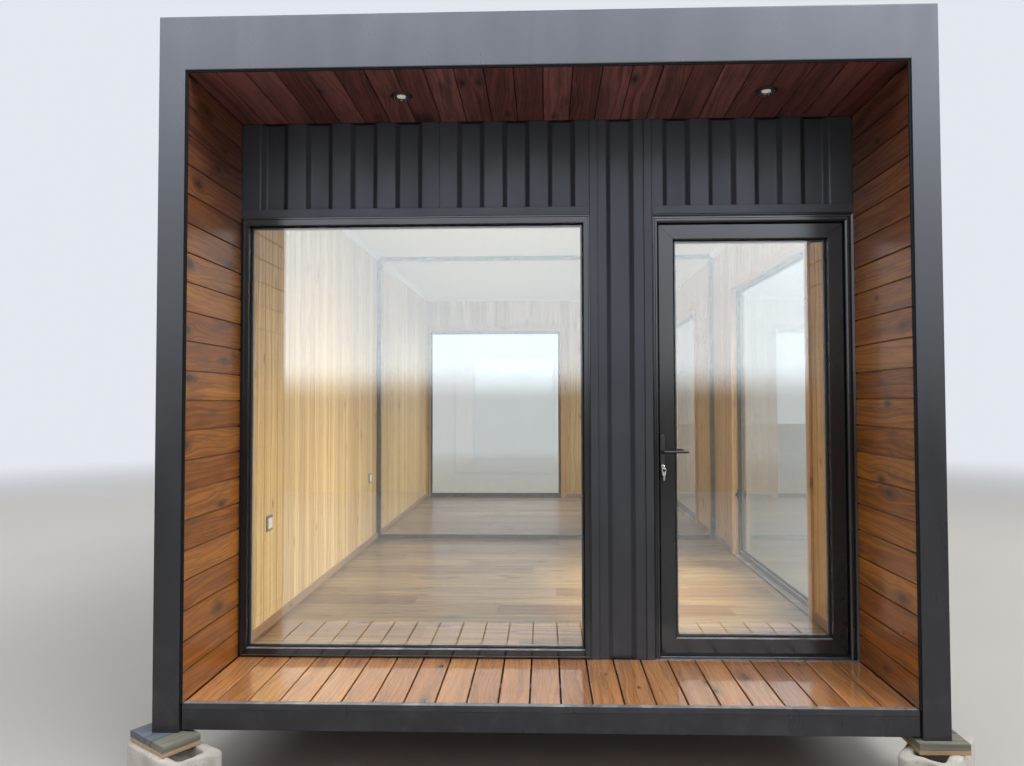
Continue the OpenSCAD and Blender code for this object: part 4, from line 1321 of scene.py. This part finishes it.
side_pieces = [(-ROOM_HALF, WIN_X0, RAIL_Z, WIN_Z1), (DOOR_X1, ROOM_HALF, RAIL_Z, WIN_Z1)]
middle_pieces = [(WIN_X1, DOOR_X0, RAIL_Z, WIN_Z1), (-ROOM_HALF, ROOM_HALF, WIN_Z1, BEAM_Z)]
low_pieces = [(-ROOM_HALF, DOOR_X0, under_deck, RAIL_Z - 0.006)]
rows = []
for behind, pieces in ((FOIL, side_pieces), (PANEL_OUT, middle_pieces), (FOIL, low_pieces)):
    rows += wall_rows(X, Y, depth(ROOM_D0), ROOM_D0 - PORCH_D - behind, pieces, -ROOM_HALF)
line_wall("front_room_boards", rows, "front_wall_piers", "front_wall_bands")

foils = []
for x0, x1, z0, z1 in (*side_pieces, (-ROOM_HALF, DOOR_X0, under_deck, RAIL_Z)):
    foils.append(bar((x0, wall_y, height(z0)), (x1, depth(PORCH_D + FOIL), height(z1)), 2, STRIP_R))
low = (-ROOM_HALF, depth(PORCH_D + FOIL), height(RAIL_Z - 0.0055))
foils.append(bar(low, (DOOR_X0, depth(ROOM_D0 - 0.001), height(RAIL_Z - 0.0003)), 0, STRIP_R))
make("dark_joint_strips", foils, "cabin", rubber)

# %% [markdown]
# The floor is laminate in rows across the room, with its short joints staggered, and each plank a
# little different. Brown skirting covers its edge, a slim bead closes the corners of the walls, and a
# white cornice runs round under the ceiling.

# %% Room floor, skirting and ceiling
PLANK_W, PLANK_L, PLANK_T, STAGGER = 0.192, 1.28, 0.022, 0.37
END_GAP = 0.0003
planks = []
edges = np.append(np.arange(ROOM_D0, ROOM_D1, PLANK_W), ROOM_D1)
for number, (d0, d1) in enumerate(zip(edges[:-1], edges[1:])):
    first = -ROOM_HALF - PLANK_L * ((number * STAGGER) % 1.0)
    ends = np.unique(np.clip(np.arange(first, ROOM_HALF + PLANK_L, PLANK_L), -ROOM_HALF, ROOM_HALF))
    for x0, x1 in zip(ends[:-1], ends[1:]):
        planks.append([x0 + END_GAP, x1 - END_GAP, depth(d0), depth(d1)])
row = board_row(X, Y, Z, planks, height(FLOOR_Z), PLANK_T, 0.0006, gap=0.0003)
lay("floor_planks", [row], "cabin", laminate, ["room_floor"])

SKIRT_H, SKIRT_T, CASING_W, CASING_T = 0.045, 0.012, 0.050, 0.014
skirt_z = (height(FLOOR_Z), height(FLOOR_Z + SKIRT_H))
stops = [ROOM_D0]
for d0, d1 in SIDE_WINDOWS:
    stops += [d0 - CASING_W, d1 + CASING_W]
stops.append(ROOM_D1)
right_cells = [[depth(a), depth(b), *skirt_z] for a, b in zip(stops[::2], stops[1::2])]
skirts = []
for along, out, cells, level in (
    (Y, X, [[depth(ROOM_D0), depth(ROOM_D1), *skirt_z]], -ROOM_HALF),
    (Y, -X, right_cells, -ROOM_HALF),
    (X, -Y, [[WIN_X1 + CASING_W, ROOM_HALF - SKIRT_T, *skirt_z]], -depth(ROOM_D1)),
):
    skirts.append(board_row(along, Z, out, cells, level + SKIRT_T, SKIRT_T, 0.004))
lay("skirting_boards", skirts, "cabin", skirting_wood)

dress("room_ceiling", white_board)
cornice = softened([[0.0, 0.0], [0.030, 0.0], [0.026, -0.008], [0.008, -0.026], [0.0, -0.030]], 0.003, True)
y0, y1, top = depth(ROOM_D0), depth(ROOM_D1), height(ROOM_Z)
cornices = []
for start, end, inward in (
    ((-ROOM_HALF, y0, top), (-ROOM_HALF, y1, top), X),
    ((ROOM_HALF, y0, top), (ROOM_HALF, y1, top), -X),
    ((-ROOM_HALF, y0, top), (ROOM_HALF, y0, top), Y),
    ((-ROOM_HALF, y1, top), (ROOM_HALF, y1, top), -Y),
):
    cornices.append(carried(cornice, [start, end], inward, Z))
make("white_cornices", cornices, "cabin", white_board)

BEAD = 0.018
beads = []
for x, sx in ((-ROOM_HALF, 1), (ROOM_HALF, -1)):
    for d, sy in ((ROOM_D0, 1), (ROOM_D1, -1)):
        cells = [[height(FLOOR_Z), top, *sorted((depth(d), depth(d + sy * BEAD)))]]
        beads.append(board_row(Z, Y, sx * X, cells, sx * (x + sx * BEAD), BEAD, 0.005))
lay("corner_beads", beads, "cabin", room_pine)

# %% [markdown]
# Each side and rear window has a frame of orange pine inside: a casing on the wall and boards that
# line the thickness of the wall, over a dark metal ledge.

# %% Casings and reveals
REVEAL_T = 0.012
casings = []
reveals = []
ledges = []
sill_z, head_z = height(WIN_Z0), height(WIN_Z1)


def case(across, out, level, h0, h1):
    """Casing boards beside a window and over it, on the wall's face."""
    foot = height(WIN_Z0 + 0.004)
    for ends, edges, along, side in (
        ((foot, head_z + CASING_W), (h0 - CASING_W, h0), Z, across),
        ((foot, head_z + CASING_W), (h1, h1 + CASING_W), Z, across),
        ((h0, h1), (head_z, head_z + CASING_W), across, Z),
    ):
        casings.append(board_row(along, side, out, [[*ends, *edges]], level + CASING_T, CASING_T, 0.003))


def line_opening(along, across, h0, h1, room, outside):
    """Boards that line an opening on both sides and over it, and the ledge under it."""
    for h, side in ((h0, 1), (h1, -1)):
        cells = [[sill_z, head_z, room, outside]]
        reveals.append(board_row(Z, across, side * along, cells, side * h + REVEAL_T, REVEAL_T, 0.001))
    cells = [[h0 + REVEAL_T, h1 - REVEAL_T, room, outside]]
    for rows, z, side in ((ledges, sill_z, 1), (reveals, head_z, -1)):
        rows.append(board_row(along, across, side * Z, cells, side * z + REVEAL_T, REVEAL_T, 0.001))


for d0, d1 in SIDE_WINDOWS:
    case(Y, -X, -ROOM_HALF, depth(d0), depth(d1))
    line_opening(Y, X, depth(d0), depth(d1), ROOM_HALF - CASING_T, room_face)
case(X, -Y, -depth(ROOM_D1), WIN_X0 + 0.025, WIN_X1)
line_opening(X, Y, WIN_X0, WIN_X1, depth(ROOM_D1 - CASING_T), depth(LENGTH - SHEET_IN - WIN_T))
lay("window_casings", casings, "cabin", orange_pine)
lay("window_reveals", reveals, "cabin", orange_pine)
lay("window_ledges", ledges, "cabin", window_paint)

# %% [markdown]
# A slim dark frame stands across the middle of the room, open from side to side. It is the same
# kind of profile as a window frame, with one groove in its face.
# Two socket plates sit on the left wall, each a grey plate with two white rockers.

# %% Middle frame and sockets
MID_D, MID_W, MID_T = 3.360, 0.033, 0.040
mid_outline = profile(
    MID_W,
    [
        [0.0, 0.0], [0.010, 0.0], [0.011, 0.003], [0.0165, 0.003], [0.0175, 0.0], [MID_W, 0.0],
        [MID_W, MID_T], [0.0, MID_T],
    ],
    0.0014,
)
mid_plane = plane((0, depth(MID_D)), X, Y)
mid_bars = mitred(mid_plane, (-ROOM_HALF, ROOM_HALF, FLOOR_Z, ROOM_Z), (MID_W,) * 4, mid_outline)
mid_nodes = ["mid_frame_posts", "mid_frame_bars"]
make("middle_frame_bars", mid_bars, "cabin", window_paint, mid_nodes)

PLATE, RIM_T, SOCKET_Z = 0.080, 0.007, 0.600
ROCKER_IN, ROCKER_W, ROCKER_OUT = 0.014, 0.024, 0.010
rims = []
rockers = []
for d in (0.900, 3.080):
    low = (-ROOM_HALF, depth(d), height(SOCKET_Z))
    high = (-ROOM_HALF + RIM_T, depth(d) + PLATE, height(SOCKET_Z + PLATE))
    rims.append(bar(low, high, 0, 0.004, 0.002))
    for shift in (ROCKER_IN, PLATE - ROCKER_IN - ROCKER_W):
        low = (-ROOM_HALF + RIM_T - 0.001, depth(d) + shift, height(SOCKET_Z + ROCKER_IN))
        edge_z = height(SOCKET_Z + PLATE - ROCKER_IN)
        high = (-ROOM_HALF + ROCKER_OUT, depth(d) + shift + ROCKER_W, edge_z)
        rockers.append(bar(low, high, 0, 0.003, 0.0015))
make("socket_rims", rims, "cabin", grey_plastic, ["socket_plates"])
make("socket_rockers", rockers, "cabin", white_plastic)

# %% [markdown]
# The roof is the same ribbed sheet laid flat between the roof rails, a little below their top.
# It is carried from side to side, as the drawing has it.

# %% Roof sheet
RIBS_Z = TOP_Z - 0.016 - RIB


def roof_place(u, w, z):
    """Depth along the roof, height from the rib's low side, and the way across."""
    return np.stack([z, depth(np.asarray(u)), height(RIBS_Z) + np.asarray(w)], 1)


roof = [band(roof_place, wall_line, -INNER, INNER)]
make("roof_ribs", roof, "cabin", roof_paint, ["roof_sheet"], rounded=False)

# %% [markdown]
# The cabin rests on hollow concrete blocks. A drawn block is far too neat: a real one is sandy, with
# worn edges. The drawing's solid is copied, merged, remeshed finely and smoothed, which wears its
# edges most, and then pressed in here and there by a sum of waves.

# %% Concrete blocks
VOXEL, SMOOTHINGS = 0.009, 10
MEAN_IN, MOST_IN = 0.0008, 0.004


def ripples(points, waves, scale, seed):
    """Smooth noise: the mean of many sine waves whose directions and phases are drawn at random."""
    rng = np.random.default_rng(seed)
    ways = rng.normal(size=(waves, 3)) * scale
    return np.sin(points @ ways.T + rng.uniform(0, 6.28, waves)).mean(1) * math.sqrt(waves)


def values_of(items, attribute):
    """Three numbers of every item of a mesh, as rows."""
    values = np.empty(len(items) * 3)
    items.foreach_get(attribute, values)
    return values.reshape(-1, 3)


block_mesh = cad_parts["concrete_blocks"].data.copy()
shell = bmesh.new()
shell.from_mesh(block_mesh)
bmesh.ops.remove_doubles(shell, verts=shell.verts, dist=1e-5)
shell.to_mesh(block_mesh)
shell.free()
blocks = bpy.data.objects.new("cast_blocks", block_mesh)
bpy.context.scene.collection.objects.link(blocks)
voxels = blocks.modifiers.new("even_grid", "REMESH")
voxels.mode = "VOXEL"
voxels.voxel_size = VOXEL
smoothing = blocks.modifiers.new("worn_edges", "SMOOTH")
smoothing.factor = 0.5
smoothing.iterations = SMOOTHINGS
graph = bpy.context.evaluated_depsgraph_get()
worn = bpy.data.meshes.new_from_object(blocks.evaluated_get(graph))
blocks.modifiers.clear()
blocks.data = worn
place = values_of(worn.vertices, "co")
facing = values_of(worn.vertex_normals, "vector")
push = 0.0007 * ripples(place, 24, 160.0, 3) + 0.0011 * ripples(place, 16, 45.0, 4)
place = place - facing * np.clip(push + MEAN_IN, 0.0, MOST_IN)[:, None]
worn.vertices.foreach_set("co", place.ravel())
worn.materials.clear()
worn.materials.append(concrete)
worn.shade_smooth()
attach(blocks, "cabin")
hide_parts("concrete_blocks")
print("cast_blocks", len(place), "points")

# %% [markdown]
# Short timber packers level the posts on the blocks: two boards side by side on a thin one, each pair
# turned its own way. They are offcuts, so every board has its own colour.

# %% Timber packers
thin_wood = wood(
    "fresh_thin_board", (0.60, 0.42, 0.25), (0.44, 0.29, 0.16), (0.40, 0.26, 0.15), (0.18, 0.10, 0.06),
    90.0, 0.3, 0.4, 0.0, 0.6, 0.1,
)
slate_wood = wood(
    "slate_painted_board", (0.125, 0.150, 0.190), (0.085, 0.100, 0.125), (0.19, 0.20, 0.21),
    (0.05, 0.05, 0.06), 90.0, 0.3, 0.8, 0.0, 0.6, 0.1,
)
grey_wood = wood(
    "weathered_grey_board", (0.30, 0.29, 0.245), (0.15, 0.145, 0.115), (0.13, 0.13, 0.10), (0.07, 0.06, 0.05),
    90.0, 0.4, 0.8, 0.0, 0.7, 0.15,
)
BLOCK_H, SAW = 0.190, 0.001
# Each pair: side, inset, depth, turn, the two widths, length, and which layer each width belongs to.
PAIRS = (
    (-1, 0.048, 0.010, -35.0, (0.160, 0.085), 0.145, (1, 2)),
    (1, 0.038, 0.063, 90.0, (0.088, 0.088), 0.185, (2, 1)),
)
LAYERS = (
    ("packers_thin", 0.000, 0.015, thin_wood, ["timber_packers"]),
    ("packers_slate", 0.015, 0.040, slate_wood, []),
    ("packers_grey", 0.015, 0.040, grey_wood, []),
)
for number, (name, z0, z1, finish, replaced) in enumerate(LAYERS):
    rows = []
    for side, inset, behind, turn, widths, length, order in PAIRS:
        whole = sum(widths)
        parts = {0: (0.0, whole), order[0]: (0.0, widths[0] - SAW), order[1]: (widths[0] + SAW, whole)}
        for end, angle in ((1, math.radians(turn)), (-1, math.radians(turn + 180.0))):
            across = np.array([math.cos(angle), math.sin(angle), 0.0])
            along = np.array([-math.sin(angle), math.cos(angle), 0.0])
            centre = np.array([end * side * (HALF_W - inset), end * depth(behind), 0.0])
            middle, start = centre @ along, centre @ across - whole / 2
            cell = [middle - length / 2, middle + length / 2, *(start + edge for edge in parts[number])]
            rows.append(board_row(along, across, Z, [cell], BLOCK_H + z1, z1 - z0, 0.002))
    lay(name, rows, "cabin", finish, replaced)

# %% [markdown]
# A plain pale floor and an even pale sky stand in for the place. The sky has its own colour where it
# is seen directly, in mirrors and through glass. It lights everything else at about a fifth of that,
# because soft lamps give the rest.
# A wide soft lamp high in front gives the fascia its sheen, and weaker ones fill the other sides.
# Far out the floor fades to the sky's colour, where it is seen and not mirrored.

# %% Floor, sky and lamps
SKY = (0.77, 0.80, 0.86, 1.0)
SKY_LIGHT, SKY_LIGHT_TONE = 0.18, (0.90, 0.94, 1.0, 1.0)
bpy.ops.mesh.primitive_plane_add(size=80.0)
floor = bpy.context.object
floor.name = "studio_floor"
ground = Finish("pale_floor")
mottle = ground.noise(ground.place(), 0.6, 3.0)
ground.set(Base_Color=ground.mix(mottle, (0.53, 0.505, 0.47), (0.58, 0.555, 0.52)), Roughness=0.85)
path = ground.node("ShaderNodeLightPath").outputs
direct = ground.math("MAXIMUM", path["Is Camera Ray"], path["Is Transmission Ray"])
unmirrored = ground.subtract(1.0, ground.math("MINIMUM", path["Glossy Depth"], 1.0))
away = ground.fed("ShaderNodeVectorMath", ground.place(), operation="LENGTH").outputs["Value"]
fade = ground.multiply(ground.ramp(away, 6.0, 17.0), ground.multiply(direct, unmirrored))
ground.blend(fade, ground.shader, ground.fed("ShaderNodeEmission", SKY))
floor.data.materials.append(ground.material)
floor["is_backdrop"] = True

scene = bpy.context.scene
scene.view_settings.view_transform = "Standard"
world = bpy.data.worlds.new("pale_sky")
scene.world = world
world.use_nodes = True
sky = Nodes(world.node_tree)
path = sky.node("ShaderNodeLightPath").outputs
seen = sky.math("MAXIMUM", path["Is Camera Ray"], path["Is Glossy Ray"])
seen = sky.math("MAXIMUM", seen, path["Is Transmission Ray"])
lighting = sky.fed("ShaderNodeBackground", SKY_LIGHT_TONE, SKY_LIGHT).outputs[0]
backdrop = sky.fed("ShaderNodeBackground", SKY, 1.0).outputs[0]
choice = sky.fed("ShaderNodeMixShader", seen, lighting, backdrop)
sky.fed("ShaderNodeOutputWorld", choice.outputs[0])


def lamp(name, place, target, size, power, spread=180.0, mirrored=True, colour=(1.0, 1.0, 1.0)):
    """A rectangular soft lamp that looks at a target and shines within a spread in degrees."""
    data = bpy.data.lights.new(name, "AREA")
    data.shape = "RECTANGLE"
    data.size, data.size_y = size
    data.energy = power
    data.color = colour
    data.spread = math.radians(spread)
    made = bpy.data.objects.new(name, data)
    made.location = place
    way = np.subtract(target, place)
    yaw = math.atan2(way[1], way[0]) - math.pi / 2
    pitch = math.atan2(way[2], math.hypot(way[0], way[1])) + math.pi / 2
    made.rotation_euler = (pitch, 0.0, yaw)
    made.visible_camera = False
    made.visible_transmission = False
    made.visible_glossy = mirrored
    scene.collection.objects.link(made)


lamp("key_sky", (5.5, -7.0, 11.0), (-0.3, -2.7, 1.0), (8.0, 5.0), 1010.0)
lamp("front_fill", (-4.5, -7.5, 9.6), (0.0, -2.7, 1.0), (9.0, 4.5), 350.0)
lamp("rear_sky", (-2.0, 9.5, 7.5), (0.0, 2.5, 1.4), (10.0, 5.0), 430.0)
lamp("left_sky", (-9.0, 0.5, 6.5), (-1.0, 0.0, 1.4), (8.0, 4.0), 260.0)
lamp("right_sky", (9.5, -1.0, 6.5), (1.0, 0.0, 1.4), (8.0, 4.0), 330.0)

# Inside, x, depth and height of each lamp and of its target, then its size, power, spread and colour.
DAYLIGHT, COOL = (0.95, 0.975, 1.0), (0.80, 0.90, 1.0)
WINDOW_SIZE = (1.5, 1.2)
for name, place, target, size, power, spread, colour in (
    ("side_window_light_front", (1.12, 1.962, 1.45), (-1.4, 1.75, 0.30), WINDOW_SIZE, 26.5, 88.0, DAYLIGHT),
    ("side_window_light_rear", (1.12, 4.882, 1.45), (-1.4, 4.882, 0.30), WINDOW_SIZE, 13.0, 88.0, DAYLIGHT),
    ("rear_window_light", (-0.585, 5.60, 1.45), (-0.585, 2.6, 0.30), WINDOW_SIZE, 7.0, 88.0, DAYLIGHT),
    ("window_floor_light", (0.95, 1.7, 1.5), (0.67, 1.7, 0.1), (1.2, 0.3), 30.0, 50.0, DAYLIGHT),
    ("room_fill", (0.0, 3.2, 2.0), (0.0, 3.3, 2.47), (2.0, 4.5), 2.0, 180.0, COOL),
):
    start, end = ((x, depth(d), height(z)) for x, d, z in (place, target))
    lamp(name, start, end, size, power, spread, False, colour)
print("lamps:", len(bpy.data.lights))

# %% [markdown]
# Glossy paint and glass show what stands in front of them, here an open sky over a low horizon.
# A card behind the camera stands for it: dull at its foot, pale above the horizon, brightest high up.
# Only mirrored rays see it, so it adds sheen to coats and a veil to the panes, and lights nothing matt.
# A pane's inner faces mirror it too, so it also shows to rays that leave the glass after a mirroring.

# %% Sky card for reflections
CARD_Y, CARD_X, CARD_TOP = -11.2, 14.0, 12.0
card_mesh = bpy.data.meshes.new("sky_card")
corners = [(x, CARD_Y, 0.0) for x in (-CARD_X, CARD_X)] + [(x, CARD_Y, CARD_TOP) for x in (CARD_X, -CARD_X)]
card_mesh.from_pydata(corners, [], [(3, 2, 1, 0)])
card = bpy.data.objects.new("sky_card", card_mesh)
scene.collection.objects.link(card)
sheen = Finish("sky_card_glow")
across, _, up = sheen.split(sheen.place())
low_sky = sheen.ramp(up, 1.45, 2.15, 0.0, 2.55)
high_sky = sheen.ramp(up, 4.2, 7.6, 0.0, 6.3)
right_sky = sheen.multiply(sheen.ramp(up, 3.0, 5.0, 0.0, 1.7), sheen.ramp(across, 1.0, 6.0))
strength = sheen.add(sheen.add(0.50, low_sky), sheen.add(high_sky, right_sky))
low_tone = sheen.mix(sheen.ramp(up, 1.3, 2.0), (1.0, 0.88, 0.70), (0.87, 0.945, 1.0))
tone = sheen.mix(sheen.ramp(up, 4.0, 7.0), low_tone, (0.80, 0.86, 1.0))
mirrored = sheen.math("MINIMUM", sheen.node("ShaderNodeLightPath").outputs["Glossy Depth"], 1.0)
glow = sheen.fed("ShaderNodeEmission", tone, strength)
sheen.blend(mirrored, sheen.node("ShaderNodeBsdfTransparent"), glow)
card_mesh.materials.append(sheen.material)
card.visible_camera = False
card.visible_diffuse = False
card.visible_shadow = False
card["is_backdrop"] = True
print("sky card", 2 * CARD_X, "by", CARD_TOP, "m")

# %% [markdown]
# The camera stands where the photograph was taken: about 2.8 m in front of the porch at eye height,
# turned and tilted by under two degrees. The three rows are its right, forward and up directions.

# %% Camera
RIGHT = (0.9995556, 0.0296746, -0.0028437)
FORWARD = (-0.0295805, 0.9991468, 0.0288221)
UP = (0.0036965, -0.0287252, 0.9995805)
FOCAL_PX, WIDTH_PX = 740.0, 1024.0
OFFSET_X_PX, OFFSET_Y_PX = 10.27, -4.20
ASIDE, AWAY, EYE_HEIGHT = -0.0002, 2.8132, 1.2623
camera_data = bpy.data.cameras.new("photo_view")
camera_data.sensor_width = 36.0
camera_data.lens = FOCAL_PX / WIDTH_PX * camera_data.sensor_width
camera_data.shift_x = -OFFSET_X_PX / WIDTH_PX
camera_data.shift_y = OFFSET_Y_PX / WIDTH_PX
camera_data.clip_start = 0.05
camera_data.clip_end = 200.0
camera = bpy.data.objects.new("photo_view", camera_data)
scene.collection.objects.link(camera)
turned_axes = np.eye(4)
turned_axes[:3, 0] = RIGHT
turned_axes[:3, 1] = UP
turned_axes[:3, 2] = np.negative(FORWARD)
turned_axes[:3, 3] = (ASIDE, FRONT - AWAY, FOOT + EYE_HEIGHT)
camera.matrix_world = Matrix(turned_axes.tolist())
scene.camera = camera
print("lens", round(camera_data.lens, 2), "mm")

# %% Sizes and finish
low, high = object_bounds()
print("dressed", [round(v, 3) for v in (*low, *high)])
